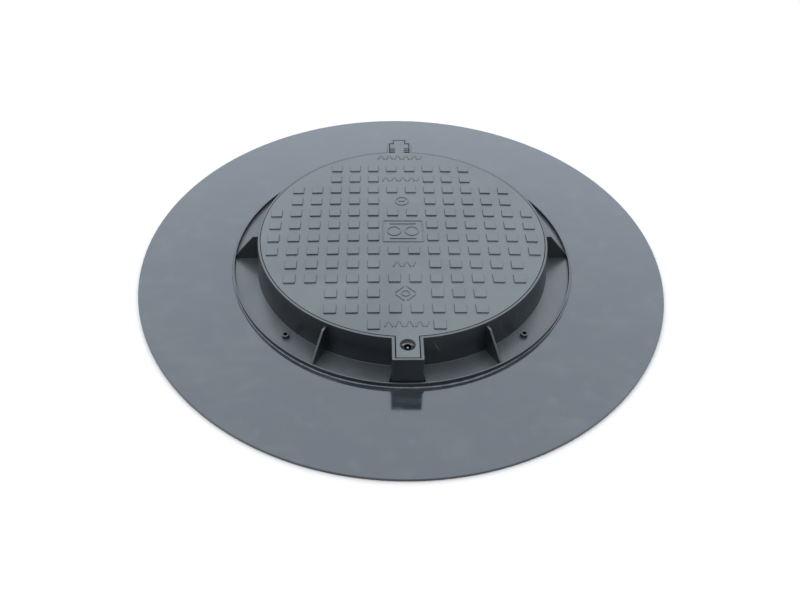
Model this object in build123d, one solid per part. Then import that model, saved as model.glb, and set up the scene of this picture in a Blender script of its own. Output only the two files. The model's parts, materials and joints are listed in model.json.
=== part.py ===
"""Round hinged manhole cover on a flat welded skirt plate, one STEP file per piece.

Frame: millimetres, +Z up, origin at the centre of the skirt plate's underside.
+Y points to the hinge and -Y to the lock.
"""
from build123d import *
import os
from math import cos, radians, sin

# How far joined bodies run into each other and cutters run past a face.
OVERLAP = 1.0

# ---------------------------------------------------------------- skirt plate
PLATE_RADIUS = 600.0
PLATE_THICKNESS = 8.0
PLATE_EDGE_ROUND = 2.0
RISER_BORE_RADIUS = 317.0  # takes a riser pipe of 630 mm outer diameter

# ---------------------------------------------------------------- frame moulding
FLANGE_TOP = PLATE_THICKNESS + 5.0
FLANGE_INNER_RADIUS = 321.0
LIP_INNER_RADIUS = 385.5
LIP_OUTER_RADIUS = 389.0
LIP_TOP = PLATE_THICKNESS + 13.3
RIM_TOP = PLATE_THICKNESS + 78.5
RIM_INNER_RADIUS = 322.0
RIM_OUTER_RADIUS = 326.8
WALL_FOOT_OUTER_RADIUS = 335.0
WALL_FOOT_INNER_RADIUS = 329.5
SEAT_TOP = 60.0
SEAT_THICKNESS = 5.0
CLEAR_OPENING_RADIUS = 300.0
SEAT_LIP_BOTTOM = 45.0
SEAT_LIP_THICKNESS = 3.5
SEAT_WEB_COUNT = 24
SEAT_WEB_THICKNESS = 3.0
BOX_FACE = 383.0  # outer face of the lock box and of the hinge box, from the centre
BOX_HALF_WIDTH = 31.6
BOX_CORNER_ROUND = 3.0

GUSSET_ANGLES = [0, 60, 120, 180, 240, 300]
GUSSET_THICKNESS = 5.0
GUSSET_TOP = PLATE_THICKNESS + 69.0
GUSSET_FLAT_END = 339.5
GUSSET_FOOT_RADIUS = LIP_INNER_RADIUS + OVERLAP
GUSSET_BOTTOM = PLATE_THICKNESS + OVERLAP
GUSSET_FOOT_TOP = LIP_TOP - 2.0

BOSS_ANGLES = [45, 135, 225, 315]
BOSS_CIRCLE_RADIUS = 356.0
BOSS_RADIUS = 8.0
BOSS_TOP = LIP_TOP
ANCHOR_HOLE_RADIUS = 4.5

# ---------------------------------------------------------------- weld beads
BEAD_WIDTH = 5.0
BEAD_HEIGHT = 4.6
INNER_BEAD_SIZE = 3.5
BEAD_FACET_TURNS = [0, 30, 60, 90]

# ---------------------------------------------------------------- lid moulding
LID_RADIUS = 320.8
LID_CENTRE_TOP = PLATE_THICKNESS + 84.2
LID_EDGE_TOP = PLATE_THICKNESS + 79.0
LID_SHELL = 7.0
LID_SKIRT_BOTTOM = SEAT_TOP + 5.0
LID_SKIRT_DRAFT = 1.5
LID_EDGE_BAND = 2.0  # upright part of the lid's edge above the drafted skirt
LID_SKIRT_THICKNESS = 4.5
SEAL_RIB_INNER_RADIUS = 306.0
SEAL_RIB_OUTER_RADIUS = 311.0
MOULD_DRAFT = 0.5  # widening of a moulded hollow towards its mouth
STIFFENER_BOTTOM = SEAT_TOP + 6.0
STIFFENER_THICKNESS = 4.0
STIFFENER_PITCHES = [-5, -3, -1, 1, 3, 5]

PAD_PITCH = 44.7
PAD_SIZE = 25.0
PAD_HEIGHT = 3.0
# One entry per row, front to rear: the row's place in pitches from the lid's centre, its first
# and its last pad column, counted in pitches from the centre line. Rows that begin at 1.5 leave
# the middle of the lid free for moulded signs.
PAD_ROWS = [
    (-6.5, 1.5, 1.5),
    (-5.5, 0.5, 3.5),
    (-4.5, 1.5, 3.5),
    (-3.5, 0.5, 5.5),
    (-2.5, 1.5, 5.5),
    (-1.5, 0.5, 6.5),
    (-0.5, 1.5, 6.5),
    (0.5, 1.5, 6.5),
    (1.5, 0.5, 6.5),
    (2.5, 1.5, 5.5),
    (3.5, 0.5, 5.5),
    (4.5, 1.5, 3.5),
    (5.5, 0.5, 3.5),
]

# ---------------------------------------------------------------- lid gasket
GASKET_INNER_RADIUS = 303.0
GASKET_OUTER_RADIUS = 314.0
GASKET_THICKNESS = 3.0

# ---------------------------------------------------------------- hinge
HINGE_Y = 352.0
HINGE_Z = PLATE_THICKNESS + 70.5
PIN_RADIUS = 4.0
PIN_HALF_LENGTH = 28.4
LID_PIN_CLEARANCE = 0.06
FRAME_PIN_CLEARANCE = 0.03
KNUCKLE_RADIUS = 8.0
HINGE_POCKET_HALF_WIDTH = 25.5
HINGE_POCKET_FRONT = 329.5
HINGE_POCKET_REAR = 363.5
HINGE_TAIL_HALF_WIDTH = 15.4
HINGE_TAIL_REAR = 378.4
HINGE_WALL = 4.6
HINGE_NOTCH_BOTTOM = 73.5
STOP_HALF_WIDTH = 16.0
STOP_FACE_Y = 345.9
STOP_TOP = 58.0
NECK_HALF_WIDTH = 11.3
NECK_BOTTOM = 76.0
TONGUE_ROOT = LID_RADIUS - 6.0
TONGUE_FIN_FRONTS = [325.4, 334.4]
TONGUE_FIN_THICKNESS = 4.4
TONGUE_HEAD_HALF_WIDTH = 24.0
TONGUE_HEAD_FRONT = 341.4
TONGUE_HEAD_REAR = 360.7
TONGUE_HEAD_ROUND = 2.5
TONGUE_TAIL_HALF_WIDTH = 14.2
TONGUE_TAIL_REAR = 375.8
TONGUE_PLATE_BOTTOM = 79.0
PLUG_PIN_GAP = 0.2
PLUG_INNER_END = PIN_HALF_LENGTH + PLUG_PIN_GAP

# ---------------------------------------------------------------- lock
LOCK_Y = -344.0
LOCK_POCKET_HALF_WIDTH = 25.1
LOCK_POCKET_FRONT = -378.5
LOCK_POCKET_REAR = -316.0
TAB_ROOT = -LID_RADIUS + 8.0
TAB_HALF_WIDTH = 23.3
TAB_FRONT = -377.3
TAB_PLATE = 8.0
TAB_SKIRT = 4.5
LOCK_BOSS_RADIUS = 19.0
KEY_HOLE_RADIUS = 15.5
KEY_RECESS_FLOOR = LID_EDGE_TOP - 7.0
BARREL_SEAT_RADIUS = 14.3
BARREL_SEAT_Z = KEY_RECESS_FLOOR - 3.3
KEEPER_HALF_WIDTH = 16.0
KEEPER_EDGE_Y = -362.0
KEEPER_BOTTOM = 57.6
KEEPER_TOP = 62.0
BUTTRESS_WIDTH = 6.0
BUTTRESS_HEIGHT = 36.0
BUTTRESS_THICKNESS = 4.0

BARREL_RADIUS = 11.0
BARREL_CLEARANCE = 0.1
BARREL_FLANGE_RADIUS = 14.0
BARREL_FLANGE_THICKNESS = 2.0
BARREL_BOTTOM = 57.5
LOCK_GASKET_THICKNESS = 1.0
NUT_ACROSS_FLATS = 27.0
NUT_THICKNESS = 4.5
PLUG_HEAD_RADIUS = 9.0
PLUG_SHAFT_RADIUS = 6.0
PLUG_CLEARANCE = 0.05
PLUG_STEP_Z = 68.0
PLUG_STEP_GAP = 0.1
KEY_SOCKET_RADIUS = 7.2
KEY_SOCKET_DEPTH = 9.0
KEY_PIN_RADIUS = 2.1
KEY_PIN_SHORTFALL = 1.5
DRIVE_SQUARE = 8.0
DRIVE_CLEARANCE = 0.2
CAM_TOP = 57.0
CAM_THICKNESS = 4.0
CAM_HALF_WIDTH = 7.0
CAM_REACH = 23.5
CAM_TAIL_RADIUS = 9.0
CAM_WASHER_RADIUS = 8.0
CAM_WASHER_THICKNESS = 1.5
CAM_WASHER_CLEARANCE = 0.3
CAM_SCREW_RADIUS = 2.5
CAM_SCREW_HEAD_FLATS = 8.0
CAM_SCREW_HEAD_HEIGHT = 4.0
CAM_SCREW_LENGTH = 14.0


# ---------------------------------------------------------------- helpers
def turned(points):
    """Solid of revolution about Z from a closed outline of (radius, height) points."""
    outline = make_face(Polyline(*points, close=True))
    return revolve(Plane.XZ * outline, Axis.Z)


def tube(inner, outer, bottom, top):
    """Plain ring about Z."""
    return turned([(inner, bottom), (outer, bottom), (outer, top), (inner, top)])


def block(x0, x1, y0, y1, z0, z1):
    """Box between two opposite corners."""
    corner = (Align.MIN, Align.MIN, Align.MIN)
    return Pos(x0, y0, z0) * Box(x1 - x0, y1 - y0, z1 - z0, align=corner)


def rod(x, y, radius, bottom, top):
    """Upright cylinder."""
    base = (Align.CENTER, Align.CENTER, Align.MIN)
    return Pos(x, y, bottom) * Cylinder(radius, top - bottom, align=base)


def cross_rod(radius, half_length):
    """Cylinder along X on the hinge axis."""
    return Pos(0, HINGE_Y, HINGE_Z) * Rot(0, 90, 0) * Cylinder(radius, 2 * half_length)


def hex_prism(x, y, across_flats, bottom, top):
    """Upright hexagonal prism."""
    outline = RegularPolygon(across_flats / 2, 6, major_radius=False)
    return Pos(x, y, bottom) * extrude(outline, top - bottom)


def around(angles, radius):
    """Points on a circle about Z."""
    return [(radius * cos(radians(a)), radius * sin(radians(a))) for a in angles]


def anchor_holes(bottom, top):
    """Upright drills through the four anchor places."""
    places = around(BOSS_ANGLES, BOSS_CIRCLE_RADIUS)
    return [rod(x, y, ANCHOR_HOLE_RADIUS, bottom, top) for x, y in places]


# ---------------------------------------------------------------- skirt plate and welds
def make_skirt_plate():
    """Flat ring of plastic sheet with softened outer edges and four anchor holes."""
    plate = tube(RISER_BORE_RADIUS, PLATE_RADIUS, 0, PLATE_THICKNESS)
    outer_edges = plate.edges().filter_by(GeomType.CIRCLE).filter_by(
        lambda edge: edge.radius > RISER_BORE_RADIUS + OVERLAP
    )
    plate = fillet(outer_edges, PLATE_EDGE_ROUND)
    return plate - anchor_holes(-OVERLAP, PLATE_THICKNESS + OVERLAP)


def bead_ring(radius, width, height):
    """Ring with a bulging section of straight facets in the corner at the given radius."""
    outline = [(radius, PLATE_THICKNESS)]
    for turn in BEAD_FACET_TURNS:
        across = width * cos(radians(turn))
        up = height * sin(radians(turn))
        outline.append((radius + across, PLATE_THICKNESS + up))
    return turned(outline)


def make_weld_bead():
    """Bead between the frame's outer lip and the skirt plate."""
    return bead_ring(LIP_OUTER_RADIUS, BEAD_WIDTH, BEAD_HEIGHT)


def make_inner_weld_bead():
    """Bead between the flange's inner edge and the skirt plate."""
    return bead_ring(FLANGE_INNER_RADIUS, -INNER_BEAD_SIZE, INNER_BEAD_SIZE)


# ---------------------------------------------------------------- frame moulding
def frame_ring():
    """Flange, outer lip, wall, rim, lid seat and the seat's turned-down lip in one section."""
    seat_bottom = SEAT_TOP - SEAT_THICKNESS
    seat_lip_outer = CLEAR_OPENING_RADIUS + SEAT_LIP_THICKNESS
    return turned([
        (FLANGE_INNER_RADIUS, PLATE_THICKNESS),
        (LIP_OUTER_RADIUS, PLATE_THICKNESS),
        (LIP_OUTER_RADIUS, LIP_TOP),
        (LIP_INNER_RADIUS, LIP_TOP),
        (LIP_INNER_RADIUS, FLANGE_TOP),
        (WALL_FOOT_OUTER_RADIUS, FLANGE_TOP),
        (RIM_OUTER_RADIUS, RIM_TOP),
        (RIM_INNER_RADIUS, RIM_TOP),
        (RIM_INNER_RADIUS, SEAT_TOP),
        (CLEAR_OPENING_RADIUS, SEAT_TOP),
        (CLEAR_OPENING_RADIUS, SEAT_LIP_BOTTOM),
        (seat_lip_outer, SEAT_LIP_BOTTOM),
        (seat_lip_outer, seat_bottom),
        (RIM_INNER_RADIUS, seat_bottom),
        (WALL_FOOT_INNER_RADIUS, FLANGE_TOP),
        (FLANGE_INNER_RADIUS, FLANGE_TOP),
    ])


def gusset(angle):
    """Thin upright rib from the outer lip up to the wall."""
    outline = make_face(Polyline(
        (WALL_FOOT_INNER_RADIUS + OVERLAP, GUSSET_BOTTOM),
        (GUSSET_FOOT_RADIUS, GUSSET_BOTTOM),
        (GUSSET_FOOT_RADIUS, GUSSET_FOOT_TOP),
        (GUSSET_FLAT_END, GUSSET_TOP),
        (RIM_INNER_RADIUS + 2 * OVERLAP, GUSSET_TOP),
        close=True,
    ))
    rib = extrude(Plane.XZ * outline, GUSSET_THICKNESS / 2, both=True)
    return Rot(0, 0, angle) * rib


def seat_web(angle):
    """Small upright web under the lid seat."""
    inner = CLEAR_OPENING_RADIUS + OVERLAP
    outer = RIM_INNER_RADIUS + 3 * OVERLAP
    rib = block(inner, outer, -SEAT_WEB_THICKNESS / 2, SEAT_WEB_THICKNESS / 2,
                SEAT_LIP_BOTTOM, SEAT_TOP - OVERLAP)
    return Rot(0, 0, angle) * rib


def lock_box():
    """Outer body of the pocket that takes the lid's lock tab."""
    body = block(-BOX_HALF_WIDTH, BOX_HALF_WIDTH, -BOX_FACE, -RIM_INNER_RADIUS - 2 * OVERLAP,
                 PLATE_THICKNESS + OVERLAP, RIM_TOP)
    upright = body.edges().filter_by(Axis.Z).group_by(Axis.Y)[0]
    return fillet(upright, BOX_CORNER_ROUND)


def lock_pocket():
    """Hollow of the lock box, open to the frame's inside."""
    return block(-LOCK_POCKET_HALF_WIDTH, LOCK_POCKET_HALF_WIDTH, LOCK_POCKET_FRONT,
                 LOCK_POCKET_REAR, FLANGE_TOP, RIM_TOP + OVERLAP)


def keeper():
    """Ledge on the lock box's front wall that the latch turns under."""
    return block(-KEEPER_HALF_WIDTH, KEEPER_HALF_WIDTH, LOCK_POCKET_FRONT - OVERLAP, KEEPER_EDGE_Y,
                 KEEPER_BOTTOM, KEEPER_TOP)


def buttress(side):
    """Small sloping foot at one side of the lock box's front face."""
    near = BOX_HALF_WIDTH - OVERLAP
    outline = make_face(Polyline(
        (side * near, FLANGE_TOP - OVERLAP),
        (side * (BOX_HALF_WIDTH + BUTTRESS_WIDTH), FLANGE_TOP - OVERLAP),
        (side * near, FLANGE_TOP + BUTTRESS_HEIGHT),
        close=True,
    ))
    front = BOX_CORNER_ROUND - BOX_FACE
    return extrude(Plane.XZ.offset(-front) * outline, -BUTTRESS_THICKNESS)


def hinge_box():
    """Outer body of the stepped pocket that takes the lid's hinge tongue."""
    wide = block(-BOX_HALF_WIDTH, BOX_HALF_WIDTH, RIM_INNER_RADIUS + 2 * OVERLAP,
                 HINGE_POCKET_REAR + HINGE_WALL, PLATE_THICKNESS + OVERLAP, RIM_TOP)
    tail_half_width = HINGE_TAIL_HALF_WIDTH + HINGE_WALL
    tail = block(-tail_half_width, tail_half_width, HINGE_POCKET_REAR, BOX_FACE,
                 PLATE_THICKNESS + OVERLAP, RIM_TOP)
    return wide + tail


def hinge_pocket():
    """Hollow of the hinge box and the notch that opens it towards the lid."""
    top = RIM_TOP + OVERLAP
    wide = block(-HINGE_POCKET_HALF_WIDTH, HINGE_POCKET_HALF_WIDTH, HINGE_POCKET_FRONT,
                 HINGE_POCKET_REAR, FLANGE_TOP, top)
    tail = block(-HINGE_TAIL_HALF_WIDTH, HINGE_TAIL_HALF_WIDTH, HINGE_POCKET_REAR - OVERLAP,
                 HINGE_TAIL_REAR, FLANGE_TOP, top)
    notch = block(-HINGE_POCKET_HALF_WIDTH, HINGE_POCKET_HALF_WIDTH, LID_RADIUS - OVERLAP,
                  HINGE_POCKET_FRONT + OVERLAP, HINGE_NOTCH_BOTTOM, top)
    return [wide, tail, notch]


def hinge_stop():
    """Block in the hinge box that the opened tongue meets."""
    return block(-STOP_HALF_WIDTH, STOP_HALF_WIDTH, HINGE_POCKET_FRONT - OVERLAP, STOP_FACE_Y,
                 FLANGE_TOP - OVERLAP, STOP_TOP)


def make_frame():
    """The whole frame moulding."""
    bosses = [rod(x, y, BOSS_RADIUS, FLANGE_TOP - OVERLAP, BOSS_TOP)
              for x, y in around(BOSS_ANGLES, BOSS_CIRCLE_RADIUS)]
    web_step = 360 / SEAT_WEB_COUNT
    webs = [seat_web(web_step * (i + 0.5)) for i in range(SEAT_WEB_COUNT)]
    frame = frame_ring() + [gusset(a) for a in GUSSET_ANGLES] + bosses + webs
    frame = frame + [lock_box(), buttress(1), buttress(-1), hinge_box()]
    frame = frame - [lock_pocket()] - hinge_pocket()
    frame = frame + [keeper(), hinge_stop()]
    frame = frame - anchor_holes(PLATE_THICKNESS - OVERLAP, BOSS_TOP + OVERLAP)
    return frame - cross_rod(PIN_RADIUS + FRAME_PIN_CLEARANCE, BOX_HALF_WIDTH + OVERLAP)


def make_lid_gasket():
    """Flat rubber ring on the lid seat."""
    return tube(GASKET_INNER_RADIUS, GASKET_OUTER_RADIUS, SEAT_TOP, SEAT_TOP + GASKET_THICKNESS)


# ---------------------------------------------------------------- lid moulding
def dome_solid(radius, centre_top, bottom, draft=0.0):
    """Round slab with a gently domed top, cut from a large ball lying on its side.

    With a draft, the slab is that much wider at its bottom.
    """
    drop = LID_CENTRE_TOP - LID_EDGE_TOP
    ball_radius = (LID_RADIUS ** 2 + drop ** 2) / (2 * drop)
    ball = Pos(0, 0, centre_top - ball_radius) * Rot(0, 90, 0) * Sphere(ball_radius)
    top = centre_top + OVERLAP
    slab = turned([(0, bottom), (radius + draft, bottom), (radius, top), (0, top)])
    return slab & ball


def lid_shell():
    """Domed skin with its hanging skirt."""
    inner_radius = LID_RADIUS - LID_SKIRT_THICKNESS - LID_SKIRT_DRAFT
    outer = dome_solid(LID_RADIUS, LID_CENTRE_TOP, LID_SKIRT_BOTTOM)
    cut_bottom = LID_SKIRT_BOTTOM - OVERLAP
    hollow = dome_solid(inner_radius, LID_CENTRE_TOP - LID_SHELL, cut_bottom, MOULD_DRAFT)
    draft = turned([
        (LID_RADIUS - LID_SKIRT_DRAFT, cut_bottom),
        (LID_RADIUS + OVERLAP, cut_bottom),
        (LID_RADIUS + OVERLAP, LID_EDGE_TOP - LID_EDGE_BAND),
        (LID_RADIUS, LID_EDGE_TOP - LID_EDGE_BAND),
    ])
    return outer - hollow - draft


def lid_stiffeners():
    """Square grid of ribs and the sealing ring under the lid."""
    reach = SEAL_RIB_INNER_RADIUS + OVERLAP
    half = STIFFENER_THICKNESS / 2
    offsets = [PAD_PITCH * k for k in STIFFENER_PITCHES]
    along_x = [block(-reach, reach, y - half, y + half, STIFFENER_BOTTOM, LID_CENTRE_TOP)
               for y in offsets]
    along_y = [block(x - half, x + half, -reach, reach, STIFFENER_BOTTOM, LID_CENTRE_TOP)
               for x in offsets]
    envelope = dome_solid(reach, LID_CENTRE_TOP - LID_SHELL / 2, STIFFENER_BOTTOM - OVERLAP)
    grid = envelope & (along_x[0] + along_x[1:] + along_y)
    ring_bottom = SEAT_TOP + GASKET_THICKNESS
    ring_top = LID_EDGE_TOP - LID_SHELL / 2
    ring = turned([
        (SEAL_RIB_INNER_RADIUS + MOULD_DRAFT, ring_bottom),
        (SEAL_RIB_OUTER_RADIUS - MOULD_DRAFT, ring_bottom),
        (SEAL_RIB_OUTER_RADIUS, ring_top),
        (SEAL_RIB_INNER_RADIUS, ring_top),
    ])
    return grid + ring


def lid_pads():
    """Raised square tread pads whose tops follow the dome."""
    places = []
    for row, first, last in PAD_ROWS:
        column = first
        while column <= last:
            places.append((column * PAD_PITCH, row * PAD_PITCH))
            places.append((-column * PAD_PITCH, row * PAD_PITCH))
            column += 1
    squares = Sketch() + [Pos(x, y) * Rectangle(PAD_SIZE, PAD_SIZE) for x, y in places]
    bottom = LID_EDGE_TOP - LID_SHELL / 2
    columns = Pos(0, 0, bottom) * extrude(squares, LID_CENTRE_TOP + PAD_HEIGHT + OVERLAP - bottom)
    return columns & dome_solid(LID_RADIUS, LID_CENTRE_TOP + PAD_HEIGHT, LID_SKIRT_BOTTOM)


def lock_tab():
    """Tab at the lid's front edge with hanging sides and a boss for the lock."""
    tab = block(-TAB_HALF_WIDTH, TAB_HALF_WIDTH, TAB_FRONT, TAB_ROOT, STIFFENER_BOTTOM, LID_EDGE_TOP)
    inner = TAB_HALF_WIDTH - TAB_SKIRT
    hollow = block(-inner, inner, TAB_FRONT + TAB_SKIRT, TAB_ROOT + OVERLAP,
                   STIFFENER_BOTTOM - OVERLAP, LID_EDGE_TOP - TAB_PLATE)
    boss = rod(0, LOCK_Y, LOCK_BOSS_RADIUS, STIFFENER_BOTTOM, LID_EDGE_TOP - OVERLAP)
    recess = rod(0, LOCK_Y, KEY_HOLE_RADIUS, KEY_RECESS_FLOOR, LID_EDGE_TOP + OVERLAP)
    recess += rod(0, LOCK_Y, BARREL_SEAT_RADIUS, BARREL_SEAT_Z, LID_EDGE_TOP)
    bore = rod(0, LOCK_Y, BARREL_RADIUS + BARREL_CLEARANCE, STIFFENER_BOTTOM - OVERLAP, LID_EDGE_TOP)
    return tab - hollow + boss - recess - bore


def hinge_tongue():
    """Finned neck, stepped head and knuckle that hang the lid on its pin."""
    neck = block(-NECK_HALF_WIDTH, NECK_HALF_WIDTH, TONGUE_ROOT, TONGUE_HEAD_FRONT + OVERLAP,
                 NECK_BOTTOM, LID_EDGE_TOP)
    fins = [block(-TONGUE_HEAD_HALF_WIDTH, TONGUE_HEAD_HALF_WIDTH, front, front + TONGUE_FIN_THICKNESS,
                  TONGUE_PLATE_BOTTOM, LID_EDGE_TOP) for front in TONGUE_FIN_FRONTS]
    head = block(-TONGUE_HEAD_HALF_WIDTH, TONGUE_HEAD_HALF_WIDTH, TONGUE_HEAD_FRONT,
                 TONGUE_HEAD_REAR, TONGUE_PLATE_BOTTOM, LID_EDGE_TOP)
    rear_top_edge = head.edges().filter_by(Axis.X).group_by(Axis.Y)[-1].sort_by(Axis.Z)[-1]
    head = fillet(rear_top_edge, TONGUE_HEAD_ROUND)
    tail = block(-TONGUE_TAIL_HALF_WIDTH, TONGUE_TAIL_HALF_WIDTH, TONGUE_HEAD_FRONT + OVERLAP,
                 TONGUE_TAIL_REAR, TONGUE_PLATE_BOTTOM, LID_EDGE_TOP)
    knuckle = cross_rod(KNUCKLE_RADIUS, TONGUE_HEAD_HALF_WIDTH)
    pin_hole = cross_rod(PIN_RADIUS + LID_PIN_CLEARANCE, TONGUE_HEAD_HALF_WIDTH + OVERLAP)
    return neck + fins + [head, tail, knuckle] - pin_hole


def make_lid():
    """The whole lid moulding."""
    return lid_shell() + lid_stiffeners() + lid_pads() + lock_tab() + hinge_tongue()


# ---------------------------------------------------------------- hinge pin
def make_hinge_pin():
    """Plain steel pin through the hinge box's cheeks and the lid's knuckle."""
    return cross_rod(PIN_RADIUS, PIN_HALF_LENGTH)


def make_hinge_plugs():
    """Two moulded plugs that close the pin's holes, flush with the hinge box's sides."""
    length = BOX_HALF_WIDTH - PLUG_INNER_END
    plug = Rot(0, 90, 0) * Cylinder(PIN_RADIUS, length)
    offset = PLUG_INNER_END + length / 2
    return Compound([Pos(x, HINGE_Y, HINGE_Z) * plug for x in (-offset, offset)])


# ---------------------------------------------------------------- lock
def make_lock_gasket():
    """Thin sealing ring under the barrel's flange."""
    ring = tube(BARREL_RADIUS + BARREL_CLEARANCE, BARREL_FLANGE_RADIUS, BARREL_SEAT_Z,
                BARREL_SEAT_Z + LOCK_GASKET_THICKNESS)
    return Pos(0, LOCK_Y, 0) * ring


def barrel_flange_bottom():
    """Height of the barrel flange's underside."""
    return BARREL_SEAT_Z + LOCK_GASKET_THICKNESS


def lock_face():
    """Height of the barrel's and the plug's top face."""
    return barrel_flange_bottom() + BARREL_FLANGE_THICKNESS


def make_lock_barrel():
    """Flanged steel sleeve with a stepped bore."""
    sleeve = turned([
        (PLUG_SHAFT_RADIUS + PLUG_CLEARANCE, BARREL_BOTTOM),
        (BARREL_RADIUS, BARREL_BOTTOM),
        (BARREL_RADIUS, barrel_flange_bottom()),
        (BARREL_FLANGE_RADIUS, barrel_flange_bottom()),
        (BARREL_FLANGE_RADIUS, lock_face()),
        (PLUG_HEAD_RADIUS + PLUG_CLEARANCE, lock_face()),
        (PLUG_HEAD_RADIUS + PLUG_CLEARANCE, PLUG_STEP_Z),
        (PLUG_SHAFT_RADIUS + PLUG_CLEARANCE, PLUG_STEP_Z),
    ])
    return Pos(0, LOCK_Y, 0) * sleeve


def make_lock_nut():
    """Hexagonal nut that holds the barrel under the tab's boss."""
    top = STIFFENER_BOTTOM
    nut = hex_prism(0, LOCK_Y, NUT_ACROSS_FLATS, top - NUT_THICKNESS, top)
    return nut - rod(0, LOCK_Y, BARREL_RADIUS, top - NUT_THICKNESS - OVERLAP, top + OVERLAP)


def make_lock_plug():
    """Turning core: key socket with its centre pin, shaft and square drive."""
    socket_floor = lock_face() - KEY_SOCKET_DEPTH
    cam_bottom = CAM_TOP - CAM_THICKNESS
    head = rod(0, LOCK_Y, PLUG_HEAD_RADIUS, PLUG_STEP_Z + PLUG_STEP_GAP, lock_face())
    socket = rod(0, LOCK_Y, KEY_SOCKET_RADIUS, socket_floor, lock_face() + OVERLAP)
    key_pin = rod(0, LOCK_Y, KEY_PIN_RADIUS, socket_floor - OVERLAP, lock_face() - KEY_PIN_SHORTFALL)
    shaft = rod(0, LOCK_Y, PLUG_SHAFT_RADIUS, CAM_TOP, PLUG_STEP_Z + 2 * PLUG_STEP_GAP)
    half = DRIVE_SQUARE / 2
    square = block(-half, half, LOCK_Y - half, LOCK_Y + half, cam_bottom, CAM_TOP + OVERLAP)
    screw_hole = rod(0, LOCK_Y, CAM_SCREW_RADIUS, cam_bottom - OVERLAP, screw_end())
    return head - socket + key_pin + shaft + square - screw_hole


def screw_end():
    """Height of the cam screw's tip inside the plug."""
    return CAM_TOP - CAM_THICKNESS - CAM_WASHER_THICKNESS + CAM_SCREW_LENGTH


def make_lock_cam():
    """Latch plate: round tail with a tongue that points to +X when unlocked."""
    bottom = CAM_TOP - CAM_THICKNESS
    tongue = block(0, CAM_REACH, LOCK_Y - CAM_HALF_WIDTH, LOCK_Y + CAM_HALF_WIDTH, bottom, CAM_TOP)
    tongue = tongue & rod(0, LOCK_Y, CAM_REACH, bottom, CAM_TOP)
    half = (DRIVE_SQUARE + DRIVE_CLEARANCE) / 2
    drive = block(-half, half, LOCK_Y - half, LOCK_Y + half, bottom - OVERLAP, CAM_TOP + OVERLAP)
    return tongue + rod(0, LOCK_Y, CAM_TAIL_RADIUS, bottom, CAM_TOP) - drive


def make_cam_washer():
    """Washer under the cam."""
    top = CAM_TOP - CAM_THICKNESS
    ring = tube(CAM_SCREW_RADIUS + CAM_WASHER_CLEARANCE, CAM_WASHER_RADIUS, top - CAM_WASHER_THICKNESS, top)
    return Pos(0, LOCK_Y, 0) * ring


def make_cam_screw():
    """Hexagon screw that holds the cam on the plug."""
    seat = CAM_TOP - CAM_THICKNESS - CAM_WASHER_THICKNESS
    head = hex_prism(0, LOCK_Y, CAM_SCREW_HEAD_FLATS, seat - CAM_SCREW_HEAD_HEIGHT, seat)
    return head + rod(0, LOCK_Y, CAM_SCREW_RADIUS, seat - OVERLAP, screw_end())


# ---------------------------------------------------------------- output
def main():
    """Write each piece to parts/NODE.step."""
    os.makedirs("parts", exist_ok=True)
    pieces = {
        "skirt_plate": make_skirt_plate(),
        "weld_bead": make_weld_bead(),
        "inner_weld_bead": make_inner_weld_bead(),
        "frame": make_frame(),
        "lid_gasket": make_lid_gasket(),
        "hinge_pin": make_hinge_pin(),
        "hinge_plugs": make_hinge_plugs(),
        "lid": make_lid(),
        "lock_gasket": make_lock_gasket(),
        "lock_barrel": make_lock_barrel(),
        "lock_nut": make_lock_nut(),
        "lock_plug": make_lock_plug(),
        "lock_cam": make_lock_cam(),
        "cam_washer": make_cam_washer(),
        "cam_screw": make_cam_screw(),
    }
    for name, piece in pieces.items():
        export_step(piece, f"parts/{name}.step")
        print(name, round(piece.volume / 1000, 1), "cm3")


main()
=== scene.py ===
"""Looks of the round hinged manhole cover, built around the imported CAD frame.

Shapes are given in millimetres and turned into metres when a mesh is made.
"""
import json
from math import cos, pi, radians, sin, sqrt, tan

import bmesh
import bpy
from mathutils import Matrix, Vector, noise


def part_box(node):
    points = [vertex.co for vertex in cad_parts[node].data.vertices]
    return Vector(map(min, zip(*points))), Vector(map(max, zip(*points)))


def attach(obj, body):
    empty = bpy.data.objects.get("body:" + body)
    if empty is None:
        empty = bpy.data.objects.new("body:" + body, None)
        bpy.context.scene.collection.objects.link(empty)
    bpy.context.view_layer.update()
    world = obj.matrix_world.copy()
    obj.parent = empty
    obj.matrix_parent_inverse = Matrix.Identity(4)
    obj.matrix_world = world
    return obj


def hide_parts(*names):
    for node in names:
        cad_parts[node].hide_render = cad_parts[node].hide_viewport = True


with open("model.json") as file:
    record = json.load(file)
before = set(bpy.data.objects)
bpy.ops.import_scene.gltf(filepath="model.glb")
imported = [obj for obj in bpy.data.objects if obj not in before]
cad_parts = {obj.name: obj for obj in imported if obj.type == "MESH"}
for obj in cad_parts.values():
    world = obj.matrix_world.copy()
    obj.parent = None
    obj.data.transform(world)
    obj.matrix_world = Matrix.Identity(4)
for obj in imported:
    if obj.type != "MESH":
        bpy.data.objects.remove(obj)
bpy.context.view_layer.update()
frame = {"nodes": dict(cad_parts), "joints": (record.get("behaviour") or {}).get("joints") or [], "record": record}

MM = 0.001


def corners(node):
    """Lowest and highest corner of a CAD node, in millimetres."""
    low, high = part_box(node)
    return low / MM, high / MM


def mount(name):
    """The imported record's mount of that name."""
    return next(m for m in frame["record"]["mounts"] if m["name"] == name)


def joint_place(name):
    """A joint's position in millimetres."""
    joint = next(j for j in frame["joints"] if j["name"] == name)
    return Vector(joint["pos_m"]) / MM


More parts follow.
